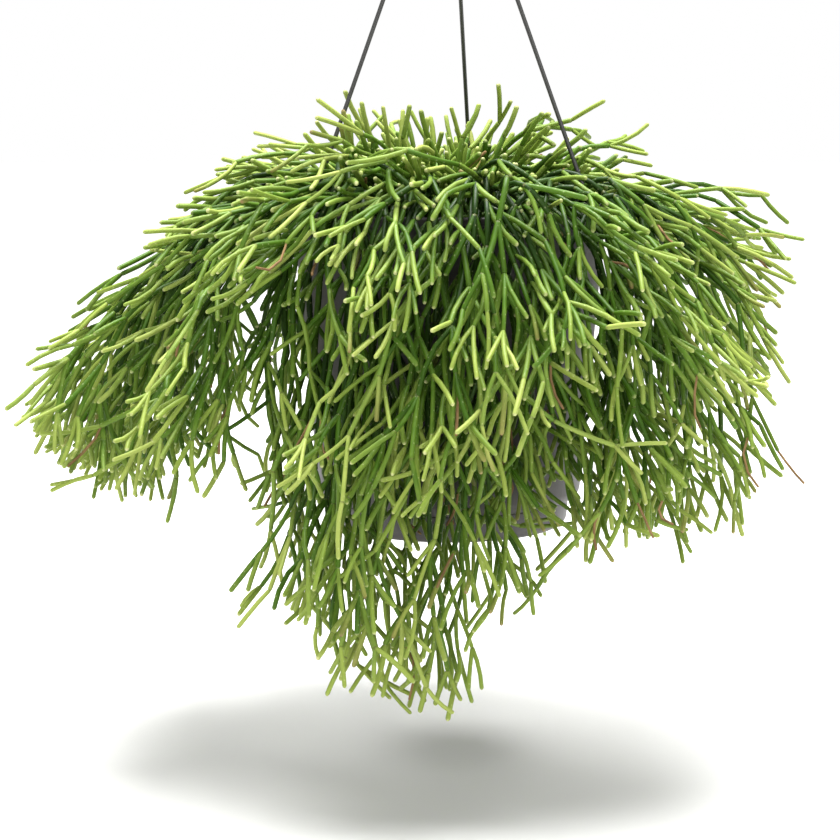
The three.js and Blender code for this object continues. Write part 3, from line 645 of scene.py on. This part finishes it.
class Stem:
    """A stem: its path, the direction and the spoke it ends with, its clump, and the shoots at its end."""

    def __init__(self, parent, face, path, spoke, level, root=False):
        """Carries the spoke along the path, kept square to it, to find where the end's faces look."""
        legs = [unit(end - start) for start, end in zip(path, path[1:])]
        for i, leg in enumerate(legs):
            self.axis = unit(leg + legs[i + 1]) if i + 1 < len(legs) else leg
            spoke = across(self.axis, spoke, 0)
        self.path, self.spoke, self.level, self.root = path, spoke, level, root
        self.shoots, self.legs = [], legs
        if parent:
            self.number = parent.number * 4 + face + 1
            self.clump = parent.clump
            parent.shoots.append(self)


def face_way(stem, face):
    """The direction in which one of the three faces at a stem's end looks, square to the stem."""
    return across(stem.axis, stem.spoke, 180 + 120 * face)


def peak_way(stem, face):
    """The way from a face's middle at a stem's end to the peak that the three faces share."""
    return stem.axis * 2 * JOINT_PEAK - face_way(stem, face)


def way_out(stem, face, tilt, swing):
    """A direction that leaves a face of a joint at a tilt from the stem before it."""
    sideways = rotated(face_way(stem, face), stem.axis, swing)
    return stem.axis * cosine(tilt) + sideways * sine(tilt)


def smooth_share(value, low, high):
    """How far a value is between two limits, eased at both ends: t squared times (3 - 2t)."""
    share = min(max((value - low) / (high - low), 0), 1)
    return share * share * (3 - 2 * share)


def make_root(index):
    """A clump's root stock, upright in the soil, at its seed's place in a sunflower's spiral."""
    share, azimuth = (index + 0.5) / SPRAYS, index * GOLDEN_ANGLE
    foot = polar(azimuth, ROOT_CIRCLE * math.sqrt(share), SOIL_Z - ROOT_HOLE_DEPTH + GAP)
    top = np.array([foot[0], foot[1], SOIL_Z + SOIL_CROWN + ROOT_COLLAR])
    root = Stem(None, 0, [foot, top], polar(azimuth + 180, 1, 0), 0, root=True)
    root.number = root.clump = index + 1
    root.share, root.azimuth = share, azimuth
    return root


def main_azimuth(root, face, draw):
    """The azimuth of a main stem: a draw near its root's own, pulled towards the front, which is lit, and
    then towards the middle of the tail from up to 45 degrees beside it."""
    azimuth = root.azimuth + draw(*MAIN_FAN[face])
    azimuth -= LIGHT_PULL * sine(azimuth - FRONT)
    beside = (azimuth - TAIL_AZIMUTH + 180) % 360 - 180
    if abs(beside) > TAIL_PULL_WIDTH:
        return azimuth
    return azimuth - TAIL_PULL * math.sin(math.pi * beside / TAIL_PULL_WIDTH)


def main_target(root, face, draw):
    """The bend and the end of a main stem: a place on HABIT, stretched by how far the plant reaches at that
    azimuth, let down by the sags and the tail, and lifted or dropped by the skirt's own height there."""
    azimuth = main_azimuth(root, face, draw)
    place = min(max(root.share ** 0.8 + MAIN_PLACES[face] + draw(-0.1, 0.1), 0), 0.999)
    along = place * (len(HABIT) - 1)
    low, share = int(along), along % 1
    bend_radius, bend_height, radius, height = HABIT[low] * (1 - share) + HABIT[low + 1] * share
    widest = 1 - LEFT_REACH * cosine(azimuth) + SIDE_REACH * cosine(2 * azimuth)
    reach = 1 + (widest - 1) * smooth_share(place, 0.45, 0.85) + draw(-0.1, 0.08)
    for side, bend_sag, end_sag in SIDE_SAGS:
        sag = max(0, cosine(azimuth - side)) * smooth_share(place, 0.2, 0.6)
        bend_height -= bend_sag * sag
        height -= end_sag * sag
    height += np.interp(azimuth % 360, *SKIRT_LIFT.T) * smooth_share(place, 0.55, 1)
    tail = TAIL_DROP * smooth_share(cosine(azimuth - TAIL_AZIMUTH), cosine(TAIL_EDGE), cosine(TAIL_CORE))
    tail *= smooth_share(place, 0.4, 0.6) * draw(0.7, 1)
    height += draw(-10, 8) - tail
    nearest = RIM_RADIUS + SKIRT_CLEARANCE if height < 0 else 0
    bend = polar(azimuth, bend_radius * reach, RIM_Z + bend_height + tail * 0.3)
    return bend, polar(azimuth + draw(-5, 5), max(radius * reach, nearest), RIM_Z + height)


def main_path(root, face, draw):
    """A main stem's path: points of a Bezier curve from the root over the bend to the end, each with the
    first of a run of growing side steps that keeps the stretch to it clear."""
    bend, end = main_target(root, face, draw)
    joint = root.path[-1]
    rise = joint + way_out(root, face, MAIN_LEAN, 0) * draw(*MAIN_RISE)

    def at(t):
        """The point at a share of the curve: each knot weighed by its own Bezier cubic."""
        return (joint * (1 - t) ** 3 + rise * 3 * (1 - t) ** 2 * t + bend * 3 * (1 - t) * t ** 2
                + end * t ** 3)

    marks = np.array([at(i / 200) for i in range(201)])
    length = np.linalg.norm(np.diff(marks, axis=0), axis=1).sum()
    steps = max(3, math.floor(length / MAIN_STEP + 0.5))
    path, kin, drift = [joint], [root, *root.shoots], np.zeros(3)
    for i in range(1, steps + 1):
        aim = at(i / steps)
        shifts = [drift * DRIFT_KEPT + offset(draw, tries * SHIFT_GROWTH) for tries in range(SHIFT_TRIES)]
        shift = next((way for way in shifts if is_clear(path[-1], aim + way, joint, kin)), None)
        if shift is None:
            break
        drift = shift
        path.append(aim + shift)
    return path


def grow_main(root, face):
    """A main stem from one face of a root, drawn again where its first path is cut short."""
    draw = seeded(root.number * 4 + face + 1)
    for _ in range(PATH_TRIES):
        path = main_path(root, face, draw)
        if len(path) >= LEAST_POINTS:
            stem = Stem(root, face, path, peak_way(root, face), 1)
            take(stem)
            return [stem]
    return []


def grow_shoots(parent, share, length, steps, tilt, droop):
    """The shoots from the end of a stem, one from each face that bears one."""
    joint, grown = parent.path[-1], []
    for face in range(3):
        draw = seeded(parent.number * 4 + face + 1)
        if draw(0, 1) > share:
            continue
        kin = [parent, *parent.shoots]
        for tries in range(SHOOT_TRIES):
            way = way_out(parent, face, draw(*tilt), draw(-SHOOT_SWING, SHOOT_SWING))
            way = unit(way - UP * droop)
            reach = draw(*length) * (1 - tries * SHOOT_SHORTENING)
            path = [joint]
            for _ in range(steps):
                path.append(path[-1] + way * (reach / steps))
                way = unit(way - UP * droop + offset(draw, SHOOT_WANDER))
            if all(is_clear(start, end, joint, kin) for start, end in zip(path, path[1:])):
                grown.append(Stem(parent, face, path, peak_way(parent, face), parent.level + 1))
                take(grown[-1])
                break
    return grown


roots = [make_root(index) for index in range(SPRAYS)]
for root in roots:
    take(root)
for top, bottom in strand_lines:
    take(Stem(None, 0, [top, bottom], np.array([1.0, 0, 0]), 0))
newest = [stem for face in range(3) for root in roots for stem in grow_main(root, face)]
stems = list(newest)
for rule in SHOOTS:
    newest = [shoot for stem in newest for shoot in grow_shoots(stem, *rule)]
    stems += newest

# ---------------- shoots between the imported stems
# The living plant is denser than its solids. More shoots grow from its joints and in whorls along its long
# stems, wherever one finds room between its neighbours. Long stems also trail down in front of the pot, and
# short ones stand up in a low crown over the soil.

FILL_SPACING = 3.3
TRAIL_AZIMUTHS = (222.0, 326.0)
TRAIL_RADII = (99.0, 120.0)
TRAIL_LEGS = ((4, 6), (3, 5))
TRAIL_LEG_LENGTH = (17.0, 27.0)
TRAIL_TRIES = 12
TRAIL_JOINT = 2
TRAIL_FRONT_Y = -40.0
TRAIL_RISE = (-0.2, 0.5)
TRAIL_STEADY = 0.7
TRAIL_AIM_BELOW = 45.0
FILL_REACH = 15.0
SIDE_SHOOTS = (0.95, 3, (22, 40), (16, 42), 0.06)  # share that bear some, count, length, tilt and droop
END_SHOOTS = (
    (0.6, 2, (20, 38), (12, 36), 0.06),
    (0.75, 2, (20, 36), (10, 34), 0.06),
    (0.6, 2, (18, 34), (10, 32), 0.06),
)
FILL_OUTWARD = 0.14
FILL_TRIES = 7
BOX_MARGIN = 2.1
CURTAIN = ((-60.0, 96.0), (-135.0, -72.0), (-440.0, -256.0))  # its limits along x, y and z
CROWN = ((-60.0, 85.0), (-50.0, 80.0), (-264.0, -190.0))
CROWN_RISE = 0.35
CROWN_TOP = (-230.0, -198.0)
CROWN_FALL = (0.42, 0.16)  # to the right of CROWN_EDGE, and to the back
CROWN_EDGE = 30.0

box_low, box_high = (np.array(corner) / MM for corner in solids_box)
draws = np.random.default_rng(3)

canopy = {}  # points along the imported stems, listed in every cell that is within a shoot's reach of them
for stem in stems:
    for start, end in zip(stem.path, stem.path[1:]):
        for point in samples(start, end)[::2]:
            list_round(canopy, point, FILL_REACH, stem)


def among_stems(point, kin):
    """True where a packed stem other than a shoot's own kin passes within reach of a point."""
    near = canopy.get(cell_of(point, FILL_REACH), ())
    return any(math.dist(point, (x, y, z)) < FILL_REACH for x, y, z, stem in near if stem not in kin)


def grow_trailing(stem, legs):
    """A long stem from a joint at the front of the rim that turns, leg by leg, towards a place lower down
    in front of the pot; it is kept where it is clear for at least one leg less than the fewest drawn."""
    joint = stem.path[TRAIL_JOINT]
    for _ in range(TRAIL_TRIES):
        azimuth, radius = draws.uniform(*TRAIL_AZIMUTHS), draws.uniform(*TRAIL_RADII)
        path, way = [joint], unit(polar(azimuth, 1, draws.uniform(*TRAIL_RISE)))
        for _ in range(draws.integers(*legs)):
            end = path[-1] + way * draws.uniform(*TRAIL_LEG_LENGTH)
            if not is_clear(path[-1], end, joint, [stem, *stem.shoots], FILL_SPACING):
                break
            path.append(end)
            aim = polar(azimuth, radius, end[2] - TRAIL_AIM_BELOW)
            way = unit(way * TRAIL_STEADY + unit(aim - end))
        if len(path) >= legs[0]:
            trailing = Stem(stem, 0, path, across(way, UP, 0), 1)
            take(trailing)
            return [trailing]
    return []


def within(point, zone):
    """True in a zone, given as its limits along each axis."""
    return all(low < value < high for value, (low, high) in zip(point, zone))


def over_crown(point, top):
    """True above the crown's top: a plane that falls to the right and, less, to the back."""
    return point[2] > top - CROWN_FALL[0] * max(0, point[0] - CROWN_EDGE) - CROWN_FALL[1] * point[1]


def grow_between(stem, place, share, count, length, tilt, droop):
    """Shoots all round one point of a stem's path: a share of the points bear some, each shoot where it is
    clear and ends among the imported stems, or in the crown, where shoots rise, or in the curtain that hangs
    close in front of the pot's wall, and always within the solids' box."""
    joint, grown = stem.path[place], []
    axis = unit(stem.legs[place - 1] + stem.legs[place]) if place < len(stem.legs) else stem.axis
    pull = unit(joint * (1, 1, 0)) * FILL_OUTWARD + UP * (CROWN_RISE if within(joint, CROWN) else -droop)
    for _ in range(count if draws.random() < share else 0):
        kin, top = [stem, *stem.shoots], draws.uniform(*CROWN_TOP)
        for _ in range(FILL_TRIES):
            lean = draws.uniform(*tilt)
            way = axis * cosine(lean) + across(axis, stem.spoke, draws.uniform(0, 360)) * sine(lean)
            way = unit(way + pull)
            end = joint + way * draws.uniform(*length)
            inside = np.all(end > box_low + BOX_MARGIN) and np.all(end < box_high - BOX_MARGIN)
            if not inside or over_crown(end, top) or not (
                    within(end, CROWN) or within(end, CURTAIN) or among_stems(tuple(end), kin)):
                continue
            if is_clear(joint, end, joint, kin, FILL_SPACING):
                grown.append(Stem(stem, 0, [joint, end], across(way, UP, 0), stem.level + 1))
                take(grown[-1])
                break
    return grown


def at_rim_front(stem):
    """True for a main stem whose joint for a trailing stem is at the front of the rim."""
    if stem.level != 1 or len(stem.path) <= TRAIL_JOINT or stem.path[TRAIL_JOINT][1] >= TRAIL_FRONT_Y:
        return False
    azimuth = math.degrees(math.atan2(stem.path[TRAIL_JOINT][1], stem.path[TRAIL_JOINT][0])) % 360
    return TRAIL_AZIMUTHS[0] < azimuth < TRAIL_AZIMUTHS[1]


rim_front = [stem for stem in stems if at_rim_front(stem)]
newest = [trailing for legs in TRAIL_LEGS for stem in rim_front for trailing in grow_trailing(stem, legs)]
stems += newest
for rule in SHOOTS:
    newest = [shoot for stem in newest for shoot in grow_shoots(stem, *rule)]
    stems += newest
sides = [(stem, place) for stem in stems if stem.level == 1 for place in range(1, len(stem.path) - 1)]
newest = [shoot for stem, place in sides for shoot in grow_between(stem, place, *SIDE_SHOOTS)]
ends = [(stem, len(stem.path) - 1) for stem in stems]
stems += newest
ends += [(shoot, 1) for shoot in newest]
for rule in END_SHOOTS:
    newest = [shoot for stem, place in ends for shoot in grow_between(stem, place, *rule)]
    ends = [(shoot, 1) for shoot in newest]
    stems += newest

# ---------------- plant
# Round succulent stems with a thin wax bloom. Each is narrow where it is jointed on and blunt at its tip,
# dark green where it is old, yellow-green where it is young, and pale at its growing point; a few have
# dried to tan, wholly or at the tip. Small pale areoles dot them. Painted shade makes stems deep inside
# the plant darker, and painted light makes those at the crown's top and the tail's foot lighter.

STEM_SIDES = 7
STEM_RADII = (2.6, 1.58, 1.46, 1.38, 1.31, 1.26, 1.22, 1.2, 1.18, 1.18)
RADIUS_VARIES = 0.12
STEM_BOW = 0.15
DRY_SHARE = 0.025
DRY_THICKNESS = 0.55
DRY_CURL = 0.5
TAN_SHARE = 0.05
GREEN_BY_LEVEL = 0.12
GREEN_OF_SHOOTS = 0.1
GREEN_VARIES = 0.12
# painted shade: stems that lie deep inside the plant get an older, darker green, and the outermost a
# younger, lighter one
PAINTED_SHADE_BY_OUTERNESS = (0.8, 0.72)
# painted light: stems at the crown's top and at the tail's foot get a younger, lighter green
PAINTED_LIGHT_BY_HEIGHT = ((-500.0, -420.0, -290.0, -250.0), (0.16, 0.0, 0.0, 0.16))
GREEN_TO_TIP = (0.35, 0.08)  # in growing stems, and in those that bear shoots
PALE_TIPS = (0.1, 0.8)
OUTER_AZIMUTHS = 14
OUTER_ELEVATIONS = 18
RING_SHAPE = (0.7, 0.94, 1.0, 1.0, 0.97, 0.62)


def round_stems(start, end, lead, leave, radius):
    """Many stems at once. Each follows the cubic that leaves its start and reaches its end in the given
    directions; six rings square to the curve carry its section, between a pole at each end."""
    size = np.linalg.norm(end - start, axis=1)[:, None]
    places = np.hstack([size * 0, radius * 1.1, size * 0.34, size * 0.67,
                        size - radius * 1.05, size - radius * 0.33])
    share = np.hstack([size * 0, places / size, size * 0 + 1])[..., None]
    p0, p1, m0, m1 = (value[:, None] for value in (start, end, lead * size, leave * size))
    centre = cubic(share, p0, p1, m0, m1)
    along = units((6 * share ** 2 - 6 * share) * (p0 - p1) + (3 * share ** 2 - 4 * share + 1) * m0
                  + (3 * share ** 2 - 2 * share) * m1)
    least = np.eye(3)[np.argmin(np.abs(end - start), axis=1)][:, None]
    first = units(least - along * (along * least).sum(2, keepdims=True))
    second = np.cross(along, first)
    angle = np.linspace(0, 2 * np.pi, STEM_SIDES, endpoint=False)[:, None]
    ring = first[:, 1:-1, None] * np.cos(angle) + second[:, 1:-1, None] * np.sin(angle)
    rings = (centre[:, 1:-1, None]
             + ring * radius[:, None, None] * np.array(RING_SHAPE)[None, :, None, None])
    points = np.concatenate([rings.reshape(len(start), -1, 3), centre[:, :1], centre[:, -1:]], 1)
    return points, share[..., 0] * size


def stem_faces(count):
    """Faces of each stem: quads between rings, fans to its poles; and each corner's ring and side."""
    rows, sides = len(RING_SHAPE), STEM_SIDES
    quads = [[(row, side), (row, side + 1), (row + 1, side + 1), (row + 1, side)]
             for row in range(rows - 1) for side in range(sides)]
    fans = [[(-1, side), (0, side + 1), (0, side)] for side in range(sides)]
    fans += [[(rows, side), (rows - 1, side), (rows - 1, side + 1)] for side in range(sides)]
    index = {-1: rows * sides, rows: rows * sides + 1}
    faces = [[index.get(row, row * sides + side % sides) for row, side in face] for face in quads + fans]
    corners = [corner for face in quads + fans for corner in face]
    points = rows * sides + 2
    all_faces = [[corner + points * stem for corner in face] for stem in range(count) for face in faces]
    return all_faces, np.array(corners)


def segments_of(stem):
    """The jointed lengths of a stem: each leg of a main stem, or the whole of a shoot, as its two ends and
    the directions there, its level, whether it ends in a growing point, and how far out it lies."""
    if stem.level != 1:
        return [(stem.path[0], stem.path[-1], stem.legs[0], stem.legs[-1], stem.level, not stem.shoots,
                 outer[id(stem)])]
    ways = [stem.legs[0], *[unit(a + b) for a, b in zip(stem.legs, stem.legs[1:])], stem.legs[-1]]
    last = len(stem.legs) - 1
    # painted shade: a main stem's legs count as deeper inside the plant the nearer they are to its root
    return [(stem.path[i], stem.path[i + 1], ways[i], ways[i + 1], 1, i == last and not stem.shoots,
             outer[id(stem)] * (i + 1) / len(ways)) for i in range(last + 1)]


def stem_skin(name, old, middle, young):
    """A stem's skin: age, with painted shade and painted light added to it, runs from old to young green,
    joints are darker, growing points pale, dry stems tan, and areoles sit 5 mm apart; the wax bloom gives a
    soft broad highlight along each stem."""
    material, shader = new_material(name, IOR=1.42, Specular_IOR_Level=0.22)
    age_light_and_shade, pale, joint, dry = (add_node(material, "Attribute", attribute_name=key).outputs["Fac"]
                             for key in ("age_light_and_shade", "pale", "joint", "dry"))
    place = add_node(material, "TexCoord").outputs["Object"]
    mottle = add_node(material, "TexNoise", {"Vector": place, "Scale": 1 / (9 * MM), "Detail": 3.0})
    shift = add_node(material, "MapRange", {"Value": mottle.outputs[0], "To Min": -0.22, "To Max": 0.22})
    ramp_place = add_node(material, "Math", {0: age_light_and_shade, 1: shift.outputs[0]}, operation="ADD")
    green = add_node(material, "ValToRGB", {"Fac": ramp_place.outputs[0]})
    green.color_ramp.elements[0].color = linear(old)
    green.color_ramp.elements[1].color = linear(young)
    green.color_ramp.elements.new(0.5).color = linear(middle)
    dry_shades = add_node(material, "ValToRGB", {"Fac": mottle.outputs[0]})
    dry_shades.color_ramp.elements[0].color = linear("#3e2413")
    dry_shades.color_ramp.elements[1].color = linear("#a1845a")
    skin = add_node(material, "UVMap", uv_map="skin").outputs[0]  # millimetres round and along
    spots = add_node(material, "TexVoronoi", {
        "Vector": skin, "Scale": 0.2, "Randomness": 0.35}, voronoi_dimensions="2D")
    areole = add_node(material, "MapRange", {
        "Value": spots.outputs["Distance"],
        "From Min": 0.05, "From Max": 0.12, "To Min": 0.22, "To Max": 0.0})
    colour = green.outputs[0]
    for share, other in ((joint, linear("#5a5a30")), (areole.outputs[0], linear("#cfd3a4")),
                         (pale, linear("#d2cf9c")), (dry, dry_shades.outputs[0])):
        mixed = add_node(material, "Mix", {0: share, 6: colour, 7: other}, data_type="RGBA")
        colour = mixed.outputs[2]
    link(material, colour, shader.inputs["Base Color"])
    rough = add_node(material, "MapRange", {"Value": dry, "To Min": 0.45, "To Max": 0.85})
    link(material, rough.outputs[0], shader.inputs["Roughness"])
    return material


stem_skins = {
    "stem_dark": stem_skin("waxy old green stem", "#182f07", "#3c5d10", "#788d38"),
    "stem_mid": stem_skin("waxy green stem", "#1d3608", "#476818", "#879843"),
    "stem_light": stem_skin("waxy young green stem", "#233c0b", "#567624", "#96a451"),
}


def outerness(points):
    """How far out each point lies: its distance from the pot's middle as a share of the greatest distance
    in its own window of azimuth and elevation, so many of which fill half a turn."""
    away = points - (0, 0, RIM_Z - 40)
    distance = np.linalg.norm(away, axis=1)
    window = np.floor(np.arctan2(away[:, 1], away[:, 0]) * OUTER_AZIMUTHS / np.pi).astype(int)
    window = (window + OUTER_AZIMUTHS) * (OUTER_ELEVATIONS + 2) + OUTER_ELEVATIONS // 2
    window += np.floor(np.arcsin(away[:, 2] / distance) * OUTER_ELEVATIONS / np.pi).astype(int)
    furthest = np.zeros(window.max() + 1)
    np.maximum.at(furthest, window, distance)
    return distance / furthest[window]


outer = dict(zip(map(id, stems), outerness(np.array([stem.path[-1] for stem in stems]))))
# painted shade: root stocks count as half way out
by_clump = {root.clump: [(root.path[0], root.path[1], UP, UP, 0, False, 0.5)] for root in roots}
for stem in stems:
    by_clump[stem.clump] += segments_of(stem)
for clump, segments in by_clump.items():
    count = len(segments)
    start, end, lead, leave = (np.array([segment[i] for segment in segments]) for i in range(4))
    level, growing, out = (np.array([segment[i] for segment in segments]) for i in (4, 5, 6))
    draws = np.random.default_rng(100 + clump)
    dry = growing & (draws.random(count) < DRY_SHARE)
    radius = np.array(STEM_RADII)[level] * draws.uniform(1 - RADIUS_VARIES, 1 + RADIUS_VARIES, count)
    radius = (radius * np.where(dry, DRY_THICKNESS, 1))[:, None]
    bow = draws.normal(0, 1, (count, 3)) * np.where(dry, DRY_CURL, STEM_BOW * (level > 1))[:, None]
    lead, leave = units(lead + bow), units(leave - bow)
    end = end + leave * np.where(growing, 0, 0.45)[:, None] * radius
    points, distance = round_stems(start - lead * radius * 0.3, end, lead, leave, radius)
    points = np.clip(points, box_low + 0.05, box_high - 0.05)
    faces, corners = stem_faces(count)
    mesh = bpy.data.meshes.new(f"stems_{clump:02d}")
    mesh.from_pydata((points.reshape(-1, 3) * MM).tolist(), [], faces)
    around = np.tile(corners[:, 1] / STEM_SIDES, (count, 1)) * 2 * np.pi * radius
    lengthwise = distance[:, corners[:, 0] + 1] + draws.uniform(0, 50, (count, 1))
    uv = mesh.uv_layers.new(name="skin")
    uv.uv.foreach_set("vector", np.stack([around, lengthwise], -1).ravel())
    rows = len(RING_SHAPE)
    base_to_tip = np.concatenate([np.repeat(np.arange(rows), STEM_SIDES), [-1, rows]])
    age_light_and_shade = (level - 1) * GREEN_BY_LEVEL + GREEN_OF_SHOOTS * (level > 1)
    # painted shade: darker the deeper a stem lies inside the plant, lighter the further out it lies
    age_light_and_shade = age_light_and_shade + draws.normal(0, GREEN_VARIES, count) + PAINTED_SHADE_BY_OUTERNESS[0] * (out - PAINTED_SHADE_BY_OUTERNESS[1])
    # painted light: lighter at the crown's top and the tail's foot
    age_light_and_shade = age_light_and_shade + np.interp(end[:, 2], *PAINTED_LIGHT_BY_HEIGHT)
    age_light_and_shade = np.clip(age_light_and_shade, 0, 1)[:, None]
    climb = np.clip(base_to_tip / rows, 0, 1)[None]
    values = {
        "age_light_and_shade": age_light_and_shade + climb * np.where(growing, *GREEN_TO_TIP)[:, None],
        "pale": (growing * draws.uniform(*PALE_TIPS, count))[:, None]
                * np.select([base_to_tip == rows, base_to_tip == rows - 1], [1.0, 0.6], 0.0)[None],
        "joint": np.tile(np.select([base_to_tip == -1, base_to_tip == 0], [0.9, 0.8], 0.0), (count, 1)),
        "dry": np.maximum(dry[:, None],
                          (growing & (draws.random(count) < TAN_SHARE))[:, None] * climb ** 2),
    }
    for key, value in values.items():
        layer = mesh.attributes.new(key, "FLOAT", "POINT")
        layer.data.foreach_set("value", value.astype(np.float32).ravel())
    slot = ("stem_dark", "stem_mid", "stem_light")[clump % 3]
    add_piece(mesh, stem_skins[slot], f"spray_{clump:02d}", crease=None)

# ---------------- stage
# A wide white floor a little below the plant's lowest stems, which glows where it is far from the plant,
# so that it meets the white surroundings without an edge. One large soft light hangs above and two weak
# ones stand in front.

FLOOR_Z = -585.0
FLOOR_RADIUS = 7000.0
AIM_Z = -330.0
CAMERA_PLACE = (-17.0, -1400.0, -171.0)
CAMERA_DROP = 220.0
CAMERA_LENS = 103.67
floor_mesh = bpy.data.meshes.new("white_floor")
floor_mesh.from_pydata([polar(azimuth, FLOOR_RADIUS, FLOOR_Z) * MM for azimuth in range(0, 360, 10)], [],
                       [list(range(36))])
paper, paper_shader = new_material("white paper", Base_Color=linear("#eaeae8"), Roughness=0.9)
place = add_node(paper, "TexCoord").outputs["Object"]
from_plant = add_node(paper, "VectorMath", {0: place, 1: (0, 0, FLOOR_Z * MM)}, operation="DISTANCE")
# painted glow: the floor gives off light of its own, none within 430 mm of the point under the plant and
# more farther out
glow = add_node(paper, "MapRange", {
    "Value": from_plant.outputs["Value"], "From Min": 430 * MM, "From Max": 1300 * MM, "To Max": 0.9})
paper_shader.inputs["Emission Color"].default_value = linear("#ffffff")
link(paper, glow.outputs[0], paper_shader.inputs["Emission Strength"])
floor_mesh.materials.append(paper)
floor = put("white_floor", floor_mesh)

for name, place, size, watts in (("top", (-50, 130, 1000), 1350, 82), ("key", (900, -1300, 500), 700, 11),
                                 ("fill", (-900, -1400, 100), 1000, 4)):
    lamp = bpy.data.lights.new(name, "AREA")
    lamp.shape, lamp.size, lamp.energy = "DISK", size * MM, watts
    holder = put(name, lamp)
    holder.location = [value * MM for value in place]
    aim = np.array([0, 0, AIM_Z]) - np.array(place, float)
    holder.rotation_euler = (math.acos(-unit(aim)[2]), 0, math.atan2(aim[1], aim[0]) - math.pi / 2)

world = bpy.data.worlds.new("studio")
world.use_nodes = True
world.node_tree.nodes["Background"].inputs[0].default_value = linear("#ffffff")
surround = add_node(world, "MapRange", {
    "Value": add_node(world, "LightPath").outputs["Is Camera Ray"], "To Min": 0.33})
link(world, surround.outputs[0], world.node_tree.nodes["Background"].inputs[1])
bpy.context.scene.world = world
bpy.context.scene.view_settings.view_transform = "Standard"

camera = bpy.data.cameras.new("camera")
camera.lens = CAMERA_LENS
viewer = put("camera", camera)
viewer.location = [value * MM for value in CAMERA_PLACE]
viewer.rotation_euler = (math.pi / 2 - math.atan2(CAMERA_DROP, -CAMERA_PLACE[1]), 0, 0)
bpy.context.scene.camera = viewer
